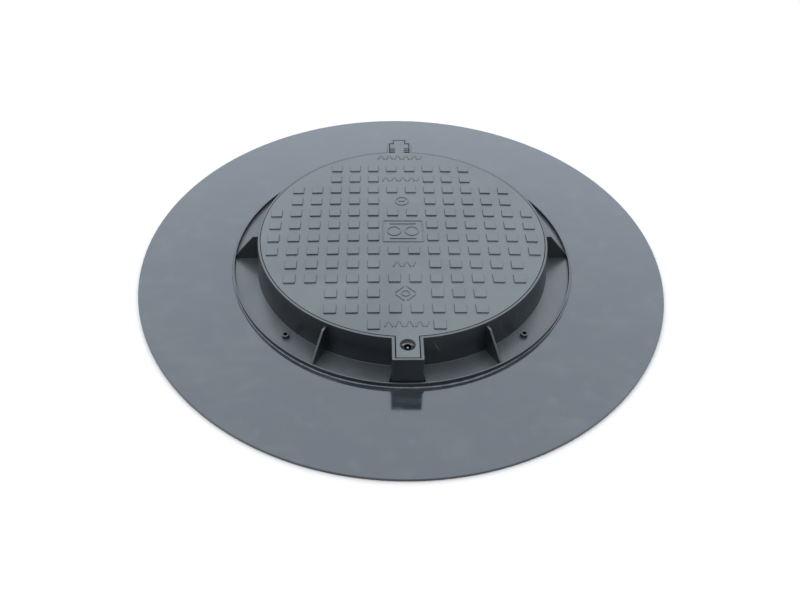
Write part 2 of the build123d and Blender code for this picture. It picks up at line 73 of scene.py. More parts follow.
# ---------------------------------------------------------------- sizes read from the frame
PLATE_HIGH = corners("skirt_plate")[1]
PLATE_RADIUS = min(PLATE_HIGH.x, PLATE_HIGH.y)
PLATE_TOP = PLATE_HIGH.z
RISER_BORE_RADIUS = mount("riser_bore")["dims"]["r_mm"]
ANCHOR_HOLE_RADIUS = mount("anchor_holes")["dims"]["hole_r_mm"]
ANCHOR_CIRCLE_RADIUS = mount("anchor_holes")["dims"]["pcd_mm"] / 2
RIM_TOP = corners("frame")[1].z
LID_LOW, LID_HIGH = corners("lid")
LID_RADIUS = LID_HIGH.x
TAB_FRONT = LID_LOW.y
TAIL_REAR = LID_HIGH.y
GASKET_LOW, GASKET_HIGH = corners("lid_gasket")
SEAT_TOP = GASKET_LOW.z
HINGE = joint_place("lid_hinge")
LOCK = joint_place("lock_turn")
PIN_RADIUS = (corners("hinge_pin")[1].z - corners("hinge_pin")[0].z) / 2

# ---------------------------------------------------------------- skirt plate
PLATE_EDGE_ROUND = 2.0

# ---------------------------------------------------------------- frame moulding
FLANGE_TOP = PLATE_TOP + 5.0
FLANGE_INNER_RADIUS = 321.0
LIP_INNER_RADIUS = 385.5
LIP_OUTER_RADIUS = 389.0
LIP_TOP = PLATE_TOP + 13.3
RIM_INNER_RADIUS = 322.0
RIM_OUTER_RADIUS = 326.8
WALL_FOOT_OUTER_RADIUS = 335.0
WALL_FOOT_INNER_RADIUS = 329.5
SEAT_THICKNESS = 5.0
CLEAR_OPENING_RADIUS = 300.0
SEAT_LIP_BOTTOM = 45.0
SEAT_LIP_THICKNESS = 3.5
SEAT_WEB_COUNT = 24
SEAT_WEB_THICKNESS = 3.0
LIP_ROUND = 1.0
LIP_FOOT_ROUND = 1.5
WALL_FOOT_ROUND = 0.6
RIM_OUTER_ROUND = 0.9
RIM_INNER_ROUND = 0.7
SEAT_CORNER_ROUND = 0.5
SEAT_LIP_ROUND = 1.0
UNDER_SEAT_ROUND = 2.0
FLANGE_EDGE_ROUND = 0.8
GUSSET_ANGLES = [0, 60, 120, 180, 240, 300]
GUSSET_THICKNESS = 5.0
GUSSET_TOP = PLATE_TOP + 69.0
GUSSET_FLAT_END = 339.5
GUSSET_FOOT_TOP = LIP_TOP - 2.0
GUSSET_SHOULDER_ROUND = 5.0
BOSS_ANGLES = [45, 135, 225, 315]
BOSS_RADIUS = 8.0

BOX_FACE = 383.0
BOX_HALF_WIDTH = 31.6
BOX_CORNER_ROUND = 3.0
HINGE_POCKET_HALF_WIDTH = 25.5
HINGE_POCKET_FRONT = 329.5
HINGE_POCKET_REAR = 363.5
HINGE_TAIL_HALF_WIDTH = 15.4
HINGE_TAIL_REAR = 378.4
HINGE_WALL = 4.6
HINGE_NOTCH_BOTTOM = 73.5
STOP_HALF_WIDTH = 16.0
STOP_FACE_Y = 345.9
STOP_TOP = 58.0
LOCK_POCKET_HALF_WIDTH = 25.1
LOCK_POCKET_FRONT = -378.5
LOCK_POCKET_REAR = -316.0
KEEPER_HALF_WIDTH = 16.0
KEEPER_EDGE_Y = -362.0
KEEPER_BOTTOM = 57.6
KEEPER_TOP = 62.0
BUTTRESS_WIDTH = 6.0
BUTTRESS_HEIGHT = 36.0
BUTTRESS_THICKNESS = 4.0

# ---------------------------------------------------------------- lid moulding
LID_CENTRE_TOP = PLATE_TOP + 84.2
LID_EDGE_TOP = PLATE_TOP + 79.0
LID_SHELL = 7.0
LID_SKIRT_BOTTOM = SEAT_TOP + 5.0
LID_SKIRT_DRAFT = 1.5
LID_SKIRT_THICKNESS = 4.5
LID_EDGE_BAND = 2.0
LID_EDGE_ROUND = 0.9
LID_INSIDE_ROUND = 2.0
DOME_MARGIN = 4.0  # the dome's last ring of points is this far inside its edge
DOME_RINGS = 16
UNDERSIDE_RINGS = 12
SEAL_RIB_INNER_RADIUS = 306.0
SEAL_RIB_OUTER_RADIUS = 311.0
STIFFENER_BOTTOM = SEAT_TOP + 6.0
STIFFENER_THICKNESS = 4.0
STIFFENER_PITCHES = (-5, -3, -1, 1, 3, 5)
STIFFENER_END_MARGIN = 0.6
STIFFENER_STEPS = 16
PAD_PITCH = 44.7
PAD_SIZE = 25.0
PAD_HEIGHT = 3.0
PAD_CORNER_ROUND = 1.6
PAD_EDGE_ROUND = 0.7
PAD_DRAFT = 0.4
# Each row: its place in pitches from the lid's centre, its first and its last pad column.
PAD_ROWS = [
    (-6.5, 1.5, 1.5),
    (-5.5, 0.5, 3.5),
    (-4.5, 1.5, 3.5),
    (-3.5, 0.5, 5.5),
    (-2.5, 1.5, 5.5),
    (-1.5, 0.5, 6.5),
    (-0.5, 1.5, 6.5),
    (0.5, 1.5, 6.5),
    (1.5, 0.5, 6.5),
    (2.5, 1.5, 5.5),
    (3.5, 0.5, 5.5),
    (4.5, 1.5, 3.5),
    (5.5, 0.5, 3.5),
]
TAB_HALF_WIDTH = 23.3
TAB_ROOT = -LID_RADIUS + 8.0
TAB_CORNER_ROUND = 2.0
TAB_PLATE = 8.0
TAB_SKIRT = 4.5
LOCK_BOSS_RADIUS = 19.0
KEY_HOLE_RADIUS = 15.5
KEY_RECESS_FLOOR = LID_EDGE_TOP - 7.0
BARREL_SEAT_RADIUS = 14.3
BARREL_SEAT_Z = KEY_RECESS_FLOOR - 3.3
BARREL_BORE_RADIUS = 11.1
KEY_PIN_RADIUS = 2.1
PAINTED_SHADE_FADE_START = 2.5  # painted shade on the lock fades out from here to the far side, counted from its axis; past the end value the lock keeps its own colour as a lit crescent
PAINTED_SHADE_FADE_END = 7.0
TONGUE_ROOT = LID_RADIUS - 6.0
NECK_HALF_WIDTH = 11.3
NECK_BOTTOM = 76.0
FIN_FRONTS = (325.4, 334.4)
FIN_THICKNESS = 4.4
HEAD_HALF_WIDTH = 24.0
HEAD_FRONT = 341.4
HEAD_REAR = 360.7
HEAD_ROUND = 2.5
TAIL_HALF_WIDTH = 14.2
TONGUE_PLATE_BOTTOM = 79.0
KNUCKLE_RADIUS = 8.0
LID_PIN_CLEARANCE = 0.06
FRAME_PIN_CLEARANCE = 0.03

# ---------------------------------------------------------------- moulded signs on the lid
SIGN_HEIGHT = 1.6
SIGN_LINE = 3.0
SIGN_SINK = 1.0
SIGN_RING_SEGMENTS = 40
SIGN_RING_RADIUS = 15.0
BAR_END_ROUNDING = 0.95
PANEL_WIDTH = 90.0
PANEL_DEPTH = 74.0
PANEL_CORNER_ROUND = 3.0
PANEL_RING_OFFSET = 20.0
PANEL_BAR_OFFSET = 26.0
PANEL_BAR_LENGTH = 60.0
UPPER_SIGN_PITCH = 2.5
UPPER_BAR_LENGTH = 16.0
LOWER_SIGN_PITCH = -4.5
DIAMOND_SIDE_OFFSET = 12.0
DIAMOND_SIDE_LENGTH = 26.0
DIAMOND_RING_RADIUS = 8.0
ZIGZAG_STEP = 10.5
ZIGZAG_HEIGHT = 17.0
ZIGZAG_LEAN = 20.0
# Each zigzag row: its place in pitches from the lid's centre, and its number of strokes.
ZIGZAG_ROWS = [(6.65, 11), (4.5, 9), (-2.5, 5), (-6.45, 9)]

# ---------------------------------------------------------------- weld beads
BEAD_WIDTH = 4.6
BEAD_HEIGHT = 4.6
BEAD_SEGMENTS = 720
BEAD_SECTION_STEPS = 7
BEAD_FULLNESS = 0.65
BEAD_SWELLS = 2.2  # how often the slow swells, the blobs and the fine ripples come
BEAD_BLOBS = 14.0
BEAD_RIPPLES = 70.0
BEAD_WIDTH_LOSS = 0.3  # shares of the bead's size
BEAD_WIDTH_SWELL = 0.6
BEAD_WIDTH_BLOB = 0.25
BEAD_HEIGHT_LOSS = 0.12
BEAD_HEIGHT_BLOB = 0.2
BEAD_WIDTH_RIPPLE = 0.15  # in millimetres
BEAD_HEIGHT_RIPPLE = 0.1
INNER_BEAD_SIZE = 3.3

# ---------------------------------------------------------------- mesh fineness
RING_SEGMENTS = 288
BORE_SEGMENTS = 72
RECESS_SEGMENTS = 96
EDGE_STEPS = 3
EDGE_ROUND = 0.8
FINE_EDGE = 0.4
SMOOTH_ANGLE = radians(32)
OVERLAP = 1.0  # how far joined pieces run into each other and cutters run past a face
MERGE_DISTANCE = 0.001
MAX_CORNER_SHARE = 0.49  # of an edge's length that one rounded corner may take up
TINY = 1e-6
UPRIGHT = Matrix.Rotation(pi / 2, 4, "X")  # an outline's second axis becomes height, its depth -Y
ACROSS = Matrix.Rotation(pi / 2, 4, "Y")  # a turned solid's axis becomes X
SIDEWAYS = Matrix.Rotation(pi / 2, 4, "Z") @ UPRIGHT  # an outline's axes become Y and height, its depth X


# ---------------------------------------------------------------- mesh helpers
def rounded(points, radius=0.0, steps=EDGE_STEPS):
    """Closed outline with rounded corners. A point may carry its own radius as a third value."""
    outline = []
    for i, point in enumerate(points):
        corner = Vector(point[:2])
        before = Vector(points[i - 1][:2]) - corner
        after = Vector(points[(i + 1) % len(points)][:2]) - corner
        corner_radius = point[2] if len(point) > 2 else radius
        reach = corner_radius / tan(before.angle(after) / 2)
        reach = min(reach, MAX_CORNER_SHARE * before.length, MAX_CORNER_SHARE * after.length)
        if reach < TINY:
            outline.append(corner)
            continue
        start = corner + before.normalized() * reach
        end = corner + after.normalized() * reach
        for k in range(steps + 1):
            share = k / steps
            outline.append(start.lerp(corner, share).lerp(corner.lerp(end, share), share))
    return outline


def rectangle(x0, x1, y0, y1, radius=0.0):
    """Rounded rectangle between two opposite corners."""
    return rounded([(x0, y0), (x1, y0), (x1, y1), (x0, y1)], radius)


def circle(x, y, radius, segments=48):
    """Round outline."""
    turns = [2 * pi * k / segments for k in range(segments)]
    return [Vector((x + radius * cos(t), y + radius * sin(t))) for t in turns]


def mirrored_outline(right_side):
    """Outline whose right side is given from front to rear, mirrored in X."""
    left_side = [(-p[0], *p[1:]) for p in reversed(right_side)]
    return list(right_side) + left_side


def spread_outline(outline, distance):
    """Outline moved outwards by a distance."""
    moved = []
    for i, point in enumerate(outline):
        before = (point - outline[i - 1]).normalized()
        after = (outline[(i + 1) % len(outline)] - point).normalized()
        normal_before = Vector((before.y, -before.x))
        normal_after = Vector((after.y, -after.x))
        mitre = (normal_before + normal_after) / (1 + normal_before.dot(normal_after))
        moved.append(point + mitre * distance)
    return moved


def soft_levels(bottom, top, bottom_edge=FINE_EDGE, top_edge=EDGE_ROUND):
    """Heights and spreads of a prism with rounded lower and upper edges."""
    turns = [pi / 2 * k / EDGE_STEPS for k in range(EDGE_STEPS + 1)]
    lower = [(bottom + bottom_edge * (1 - cos(t)), -bottom_edge * (1 - sin(t))) for t in turns]
    upper = [(top - top_edge * (1 - cos(t)), -top_edge * (1 - sin(t))) for t in turns]
    return lower + upper[::-1]


def cutter_levels(bottom, top, flare=EDGE_ROUND):
    """Heights and spreads of a cutter that leaves a softened mouth at the top."""
    turns = [pi / 2 * k / EDGE_STEPS for k in range(EDGE_STEPS + 1)]
    mouth = [(top - flare * (1 - sin(t)), flare * (1 - cos(t))) for t in turns]
    return [(bottom, 0.0)] + mouth + [(top + OVERLAP, flare)]


def build(name, vertices, faces):
    """Closed mesh object from points in millimetres, with its normals outwards."""
    mesh = bpy.data.meshes.new(name)
    mesh.from_pydata([Vector(v) * MM for v in vertices], [], faces)
    work = bmesh.new()
    work.from_mesh(mesh)
    bmesh.ops.remove_doubles(work, verts=work.verts, dist=MERGE_DISTANCE * MM)
    bmesh.ops.recalc_face_normals(work, faces=work.faces)
    work.to_mesh(mesh)
    work.free()
    piece = bpy.data.objects.new(name, mesh)
    bpy.context.scene.collection.objects.link(piece)
    return piece


def prism(outline, levels, place=Matrix(), ground=None):
    """Closed solid from one outline. Each level is a height and how far the outline spreads there.

    With a ground function, heights are counted from the ground's height below each point.
    """
    count = len(outline)
    vertices = []
    for height, spread in levels:
        for point in spread_outline(outline, spread):
            base = ground(point.x, point.y) if ground else 0.0
            vertices.append(place @ Vector((point.x, point.y, base + height)))
    faces = [tuple(reversed(range(count)))]
    for level in range(len(levels) - 1):
        first = level * count
        for i in range(count):
            j = (i + 1) % count
            faces.append((first + i, first + j, first + count + j, first + count + i))
    last = (len(levels) - 1) * count
    faces.append(tuple(range(last, last + count)))
    return build("prism", vertices, faces)


def turned(outline, segments=RING_SEGMENTS, place=Matrix()):
    """Closed solid of revolution about Z from a closed outline of (radius, height)."""
    count = len(outline)
    vertices = []
    for s in range(segments):
        turn = 2 * pi * s / segments
        for point in outline:
            vertices.append(place @ Vector((point[0] * cos(turn), point[0] * sin(turn), point[1])))
    faces = []
    for s in range(segments):
        here = s * count
        there = (s + 1) % segments * count
        for i in range(count):
            j = (i + 1) % count
            faces.append((here + i, there + i, there + j, here + j))
    return build("turned", vertices, faces)


def band(outline, width, height, ground):
    """Raised line of even width that follows a closed outline on the ground."""
    half = width / 2
    section = [(half, -SIGN_SINK), (half, height - FINE_EDGE), (half - FINE_EDGE, height)]
    section += [(-spread, level) for spread, level in reversed(section)]
    loops = [spread_outline(outline, spread) for spread, _ in section]
    count = len(outline)
    vertices = []
    for loop, (_, level) in zip(loops, section):
        vertices += [(p.x, p.y, ground(p.x, p.y) + level) for p in loop]
    faces = []
    for s in range(len(section)):
        here = s * count
        there = (s + 1) % len(section) * count
        for i in range(count):
            j = (i + 1) % count
            faces.append((here + i, here + j, there + j, there + i))
    return build("band", vertices, faces)


def cross_rod(radius, half_length, segments=64):
    """Cylinder along X on the hinge axis."""
    outline = [(0.0, -half_length), (radius, -half_length), (radius, half_length), (0.0, half_length)]
    return turned(outline, segments, Matrix.Translation((0, HINGE.y, HINGE.z)) @ ACROSS)


def joined(pieces):
    """One object from several that don't overlap."""
    work = bmesh.new()
    for piece in pieces:
        work.from_mesh(piece.data)
    mesh = bpy.data.meshes.new("joined")
    work.to_mesh(mesh)
    work.free()
    for piece in pieces:
        bpy.data.objects.remove(piece)
    whole = bpy.data.objects.new("joined", mesh)
    bpy.context.scene.collection.objects.link(whole)
    return whole


def combine(base, tool, operation):
    """Boolean of two closed meshes, kept in the first one. The tool is used up."""
    modifier = base.modifiers.new("combine", "BOOLEAN")
    modifier.operation = operation
    modifier.object = tool
    modifier.solver = "MANIFOLD"
    graph = bpy.context.evaluated_depsgraph_get()
    mesh = bpy.data.meshes.new_from_object(base.evaluated_get(graph))
    base.modifiers.clear()
    base.data = mesh
    bpy.data.objects.remove(tool)


def add(base, *tools):
    """Union with each tool in turn."""
    for tool in tools:
        combine(base, tool, "UNION")
    return base


def cut(base, *tools):
    """Difference with each tool in turn."""
    for tool in tools:
        combine(base, tool, "DIFFERENCE")
    return base


def finish_piece(piece, name, body, material, slot, *nodes):
    """Name, shading, material and place in the frame of a finished piece."""
    piece.name = name
    piece.data.name = name
    piece.data.shade_smooth()
    piece.data.set_sharp_from_angle(angle=SMOOTH_ANGLE)
    weights = piece.modifiers.new("weighted_normals", "WEIGHTED_NORMAL")
    weights.keep_sharp = True
    piece.data.materials.clear()
    piece.data.materials.append(material)
    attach(piece, body)
    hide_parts(*nodes)


def around(angles, radius):
    """Points on a circle about Z."""
    return [(radius * cos(radians(a)), radius * sin(radians(a))) for a in angles]


# ---------------------------------------------------------------- skirt plate and welds
def anchor_cutters(bottom, top, flare):
    """Drills at the four anchor places."""
    levels = cutter_levels(bottom, top, flare)
    return joined([prism(circle(x, y, ANCHOR_HOLE_RADIUS), levels)
                   for x, y in around(BOSS_ANGLES, ANCHOR_CIRCLE_RADIUS)])


def make_skirt_plate():
    """Flat sheet ring with softened edges and four anchor holes."""
    plate = turned(rounded([
        (RISER_BORE_RADIUS, 0, FINE_EDGE),
        (PLATE_RADIUS, 0, PLATE_EDGE_ROUND),
        (PLATE_RADIUS, PLATE_TOP, PLATE_EDGE_ROUND),
        (RISER_BORE_RADIUS, PLATE_TOP, FINE_EDGE),
    ]))
    return cut(plate, anchor_cutters(-OVERLAP, PLATE_TOP, FINE_EDGE))


def make_bead(radius, width, height, seed, unevenness):
    """Weld bead in the corner of an upright face: a bulging section whose size wanders."""
    vertices = []
    for s in range(BEAD_SEGMENTS):
        turn = 2 * pi * s / BEAD_SEGMENTS
        spot = Vector((cos(turn), sin(turn), seed))
        swell = noise.noise(spot * BEAD_SWELLS)
        blobs = noise.noise(spot * BEAD_BLOBS)
        ripple = noise.noise(spot * BEAD_RIPPLES)
        narrowing = BEAD_WIDTH_LOSS - BEAD_WIDTH_SWELL * swell - BEAD_WIDTH_BLOB * blobs
        lowering = BEAD_HEIGHT_LOSS - BEAD_HEIGHT_BLOB * blobs
        here_width = width * (1 - unevenness * narrowing) + BEAD_WIDTH_RIPPLE * ripple
        here_height = height * (1 - unevenness * lowering) + BEAD_HEIGHT_RIPPLE * ripple
        section = [Vector((0.0, 0.0))]
        for k in range(BEAD_SECTION_STEPS + 1):
            angle = pi / 2 * k / BEAD_SECTION_STEPS
            section.append(Vector((here_width * cos(angle) ** BEAD_FULLNESS,
                                   here_height * sin(angle) ** BEAD_FULLNESS)))
        for point in section:
            reach = radius + point.x
            vertices.append((reach * cos(turn), reach * sin(turn), PLATE_TOP + point.y))
    count = BEAD_SECTION_STEPS + 2
    faces = []
    for s in range(BEAD_SEGMENTS):
        here = s * count
        there = (s + 1) % BEAD_SEGMENTS * count
        for i in range(count):
            j = (i + 1) % count
            faces.append((here + i, there + i, there + j, here + j))
    return build("bead", vertices, faces)


# ---------------------------------------------------------------- frame moulding
def frame_section():
    """Flange, lip, wall, rim, seat and the seat's turned-down lip. Third values are corner radii."""
    seat_bottom = SEAT_TOP - SEAT_THICKNESS
    seat_lip_outer = CLEAR_OPENING_RADIUS + SEAT_LIP_THICKNESS
    return rounded([
        (FLANGE_INNER_RADIUS, PLATE_TOP, 0.0),
        (LIP_OUTER_RADIUS, PLATE_TOP, 0.0),
        (LIP_OUTER_RADIUS, LIP_TOP, LIP_ROUND),
        (LIP_INNER_RADIUS, LIP_TOP, LIP_ROUND),
        (LIP_INNER_RADIUS, FLANGE_TOP, LIP_FOOT_ROUND),
        (WALL_FOOT_OUTER_RADIUS, FLANGE_TOP, WALL_FOOT_ROUND),
        (RIM_OUTER_RADIUS, RIM_TOP, RIM_OUTER_ROUND),
        (RIM_INNER_RADIUS, RIM_TOP, RIM_INNER_ROUND),
        (RIM_INNER_RADIUS, SEAT_TOP, SEAT_CORNER_ROUND),
        (CLEAR_OPENING_RADIUS, SEAT_TOP, SEAT_LIP_ROUND),
        (CLEAR_OPENING_RADIUS, SEAT_LIP_BOTTOM, SEAT_LIP_ROUND),
        (seat_lip_outer, SEAT_LIP_BOTTOM, SEAT_LIP_ROUND),
        (seat_lip_outer, seat_bottom, SEAT_LIP_ROUND),
        (RIM_INNER_RADIUS, seat_bottom, UNDER_SEAT_ROUND),
        (WALL_FOOT_INNER_RADIUS, FLANGE_TOP, UNDER_SEAT_ROUND),
        (FLANGE_INNER_RADIUS, FLANGE_TOP, FLANGE_EDGE_ROUND),
    ])


def make_gusset(angle):
    """Thin upright rib from the lip up to the wall."""
    outline = rounded([
        (WALL_FOOT_INNER_RADIUS + OVERLAP, PLATE_TOP + OVERLAP),
        (LIP_INNER_RADIUS + OVERLAP, PLATE_TOP + OVERLAP),
        (LIP_INNER_RADIUS + OVERLAP, GUSSET_FOOT_TOP, EDGE_ROUND),
        (GUSSET_FLAT_END, GUSSET_TOP, GUSSET_SHOULDER_ROUND),
        (RIM_INNER_RADIUS + 2 * OVERLAP, GUSSET_TOP),
    ])
    half = GUSSET_THICKNESS / 2
    levels = soft_levels(-half, half, EDGE_ROUND, EDGE_ROUND)
    return prism(outline, levels, Matrix.Rotation(radians(angle), 4, "Z") @ UPRIGHT)


def make_seat_web(angle):
    """Small upright web under the seat."""
    outline = rounded([
        (CLEAR_OPENING_RADIUS + OVERLAP, SEAT_LIP_BOTTOM + FINE_EDGE),
        (RIM_INNER_RADIUS + 3 * OVERLAP, SEAT_LIP_BOTTOM + FINE_EDGE),
        (RIM_INNER_RADIUS + 3 * OVERLAP, SEAT_TOP - OVERLAP),
        (CLEAR_OPENING_RADIUS + OVERLAP, SEAT_TOP - OVERLAP),
    ])
    half = SEAT_WEB_THICKNESS / 2
    levels = soft_levels(-half, half, FINE_EDGE, FINE_EDGE)
    return prism(outline, levels, Matrix.Rotation(radians(angle), 4, "Z") @ UPRIGHT)


def make_buttress(side):
    """Small sloping foot at one side of the lock box's front."""
    near = BOX_HALF_WIDTH - OVERLAP
    far = BOX_HALF_WIDTH + BUTTRESS_WIDTH
    foot = FLANGE_TOP - OVERLAP
    points = [(near, foot), (far, foot), (near, FLANGE_TOP + BUTTRESS_HEIGHT)]
    if side < 0:
        points = [(-x, z) for x, z in reversed(points)]
    front = BOX_FACE - BOX_CORNER_ROUND
    levels = soft_levels(front - BUTTRESS_THICKNESS, front, FINE_EDGE, FINE_EDGE)
    return prism(rounded(points), levels, UPRIGHT)


def make_frame():
    """The whole frame moulding."""
    body = turned(frame_section())
    boss_levels = soft_levels(FLANGE_TOP - OVERLAP, LIP_TOP, 0.0, EDGE_ROUND)
    bosses = [prism(circle(x, y, BOSS_RADIUS), boss_levels)
              for x, y in around(BOSS_ANGLES, ANCHOR_CIRCLE_RADIUS)]
    web_step = 360 / SEAT_WEB_COUNT
    webs = [make_seat_web(web_step * (k + 0.5)) for k in range(SEAT_WEB_COUNT)]
    gussets = [make_gusset(angle) for angle in GUSSET_ANGLES]
    box_levels = soft_levels(PLATE_TOP + OVERLAP, RIM_TOP, 0.0, EDGE_ROUND)
    box_inner = RIM_INNER_RADIUS + 2 * OVERLAP
    lock_box = prism(rounded([
        (-BOX_HALF_WIDTH, -BOX_FACE, BOX_CORNER_ROUND),
        (BOX_HALF_WIDTH, -BOX_FACE, BOX_CORNER_ROUND),
        (BOX_HALF_WIDTH, -box_inner),
        (-BOX_HALF_WIDTH, -box_inner),
    ]), box_levels)
    tail_half_width = HINGE_TAIL_HALF_WIDTH + HINGE_WALL
    hinge_box = prism(rounded(mirrored_outline([
        (BOX_HALF_WIDTH, box_inner),
        (BOX_HALF_WIDTH, HINGE_POCKET_REAR + HINGE_WALL, BOX_CORNER_ROUND),
        (tail_half_width, HINGE_POCKET_REAR + HINGE_WALL, BOX_CORNER_ROUND),
        (tail_half_width, BOX_FACE, BOX_CORNER_ROUND),
    ])), box_levels)
    add(body, joined(bosses + webs + gussets + [lock_box, hinge_box]))
    add(body, joined([make_buttress(1), make_buttress(-1)]))
    cut(body, make_pockets())
    cut(body, make_hinge_notch())
    add(body, make_pocket_insides())
    cut(body, anchor_cutters(PLATE_TOP - OVERLAP, LIP_TOP, EDGE_ROUND))
    cut(body, cross_rod(PIN_RADIUS + FRAME_PIN_CLEARANCE, BOX_HALF_WIDTH + OVERLAP))
    return body


def make_pockets():
    """Hollows of the lock box and of the hinge box."""
    levels = cutter_levels(FLANGE_TOP, RIM_TOP)
    lock_pocket = prism(rectangle(-LOCK_POCKET_HALF_WIDTH, LOCK_POCKET_HALF_WIDTH,
                                  LOCK_POCKET_FRONT, LOCK_POCKET_REAR, OVERLAP), levels)
    hinge_pocket = prism(rounded(mirrored_outline([
        (HINGE_POCKET_HALF_WIDTH, HINGE_POCKET_FRONT, OVERLAP),
        (HINGE_POCKET_HALF_WIDTH, HINGE_POCKET_REAR, OVERLAP),
        (HINGE_TAIL_HALF_WIDTH, HINGE_POCKET_REAR, OVERLAP),
        (HINGE_TAIL_HALF_WIDTH, HINGE_TAIL_REAR, OVERLAP),
    ])), levels)
    return joined([lock_pocket, hinge_pocket])


def make_hinge_notch():
    """Cutter that opens the hinge pocket towards the lid."""
    outline = rectangle(-HINGE_POCKET_HALF_WIDTH, HINGE_POCKET_HALF_WIDTH, LID_RADIUS - OVERLAP,
                        HINGE_POCKET_FRONT + OVERLAP)
    return prism(outline, cutter_levels(HINGE_NOTCH_BOTTOM, RIM_TOP))


def make_pocket_insides():
    """Keeper for the latch and the stop for the open lid."""
    keeper_outline = rectangle(-KEEPER_HALF_WIDTH, KEEPER_HALF_WIDTH, LOCK_POCKET_FRONT - OVERLAP,
                               KEEPER_EDGE_Y, FINE_EDGE)
    keeper = prism(keeper_outline, soft_levels(KEEPER_BOTTOM, KEEPER_TOP, FINE_EDGE, FINE_EDGE))
    stop_outline = rectangle(-STOP_HALF_WIDTH, STOP_HALF_WIDTH, HINGE_POCKET_FRONT - OVERLAP,
                             STOP_FACE_Y, FINE_EDGE)
    stop = prism(stop_outline, soft_levels(FLANGE_TOP - OVERLAP, STOP_TOP, 0.0, EDGE_ROUND))
    return joined([keeper, stop])


# ---------------------------------------------------------------- lid moulding
def dome(x, y=0.0):
    """Height of the lid's domed surface."""
    drop = LID_CENTRE_TOP - LID_EDGE_TOP
    ball = (LID_RADIUS ** 2 + drop ** 2) / (2 * drop)
    return LID_CENTRE_TOP - ball + sqrt(ball ** 2 - x ** 2 - y ** 2)


def lid_body():
    """Domed skin with its hanging skirt and the sealing ring."""
    inner_radius = LID_RADIUS - LID_SKIRT_THICKNESS - LID_SKIRT_DRAFT
    top_radii = [(LID_RADIUS - DOME_MARGIN) * k / DOME_RINGS for k in range(DOME_RINGS + 1)]
    under_radii = [(inner_radius - DOME_MARGIN) * k / UNDERSIDE_RINGS for k in range(UNDERSIDE_RINGS + 1)]
    under = [(r, dome(r) - LID_SHELL, 0.0) for r in under_radii]
    top = [(r, dome(r), 0.0) for r in reversed(top_radii)]
    skirt = [
        (inner_radius, dome(inner_radius) - LID_SHELL, LID_INSIDE_ROUND),
        (inner_radius, LID_SKIRT_BOTTOM, EDGE_ROUND),
        (LID_RADIUS - LID_SKIRT_DRAFT, LID_SKIRT_BOTTOM, EDGE_ROUND),
        (LID_RADIUS, LID_EDGE_TOP - LID_EDGE_BAND, 0.0),
        (LID_RADIUS, LID_EDGE_TOP, LID_EDGE_ROUND),
    ]
    body = turned(rounded(under + skirt + top))
    ring = turned(rounded([
        (SEAL_RIB_INNER_RADIUS, GASKET_HIGH.z, EDGE_ROUND),
        (SEAL_RIB_OUTER_RADIUS, GASKET_HIGH.z, EDGE_ROUND),
        (SEAL_RIB_OUTER_RADIUS, LID_EDGE_TOP - LID_SHELL / 2),
        (SEAL_RIB_INNER_RADIUS, LID_EDGE_TOP - LID_SHELL / 2),
    ]))
    return add(body, ring)


def stiffener_bars(along):
    """Parallel ribs under the lid that follow the dome and end inside the sealing ring."""
    half = STIFFENER_THICKNESS / 2
    steps = STIFFENER_STEPS
    end_radius = SEAL_RIB_OUTER_RADIUS - STIFFENER_END_MARGIN
    bars = []
    for offset in STIFFENER_PITCHES:
        side = abs(offset) * PAD_PITCH + half
        reach = sqrt(end_radius ** 2 - side ** 2)
        left = [(-half, FINE_EDGE), (-half + FINE_EDGE, 0.0)]
        section = left + [(-cross, lift) for cross, lift in reversed(left)]
        vertices = []
        for k in range(steps + 1):
            along_place = reach * (2 * k / steps - 1)
            for cross, lift in section:
                vertices.append((along_place, offset * PAD_PITCH + cross, STIFFENER_BOTTOM + lift))
            top = dome(along_place, offset * PAD_PITCH) - LID_SHELL / 2
            for cross in (half, -half):
                vertices.append((along_place, offset * PAD_PITCH + cross, top))
        count = len(section) + 2
        faces = [tuple(range(count)), tuple(range(steps * count, (steps + 1) * count))]
        for k in range(steps):
            for i in range(count):
                j = (i + 1) % count
                faces.append((k * count + i, k * count + j, (k + 1) * count + j, (k + 1) * count + i))
        if along == "y":
            vertices = [(-y, x, z) for x, y, z in vertices]
        bars.append(build("bar", vertices, faces))
    return joined(bars)


def make_pads():
    """Raised square tread pads whose tops follow the dome."""
    half = PAD_SIZE / 2
    foot = [(-SIGN_SINK, PAD_DRAFT), (0.0, PAD_DRAFT)]
    levels = foot + soft_levels(0.0, PAD_HEIGHT, 0.0, PAD_EDGE_ROUND)[EDGE_STEPS + 1:]
    pads = []
    for row, first, last in PAD_ROWS:
        for k in range(int(last - first) + 1):
            for side in (-1, 1):
                x = side * (first + k) * PAD_PITCH
                y = row * PAD_PITCH
                square = rectangle(x - half, x + half, y - half, y + half, PAD_CORNER_ROUND)
                pads.append(prism(square, levels, ground=dome))
    return pads


def sign_panel(width, depth):
    """Empty raised frame in the middle of the lid."""
    outline = rectangle(-width / 2, width / 2, -depth / 2, depth / 2, PANEL_CORNER_ROUND)
    return band(outline, SIGN_LINE, SIGN_HEIGHT, dome)


def sign_bar(x, y, length, angle=0.0):
    """Short raised bar with round ends."""
    half = length / 2
    line = SIGN_LINE / 2
    turn = Matrix.Rotation(radians(angle), 2)
    shape = rectangle(-half, half, -line, line, line * BAR_END_ROUNDING)
    outline = [turn @ p + Vector((x, y)) for p in shape]
    levels = [(-SIGN_SINK, 0.0)] + soft_levels(0.0, SIGN_HEIGHT, 0.0, FINE_EDGE)[EDGE_STEPS + 1:]
    return prism(outline, levels, ground=dome)


def sign_ring(x, y, radius):
    """Raised ring."""
    return band(circle(x, y, radius, SIGN_RING_SEGMENTS), SIGN_LINE, SIGN_HEIGHT, dome)


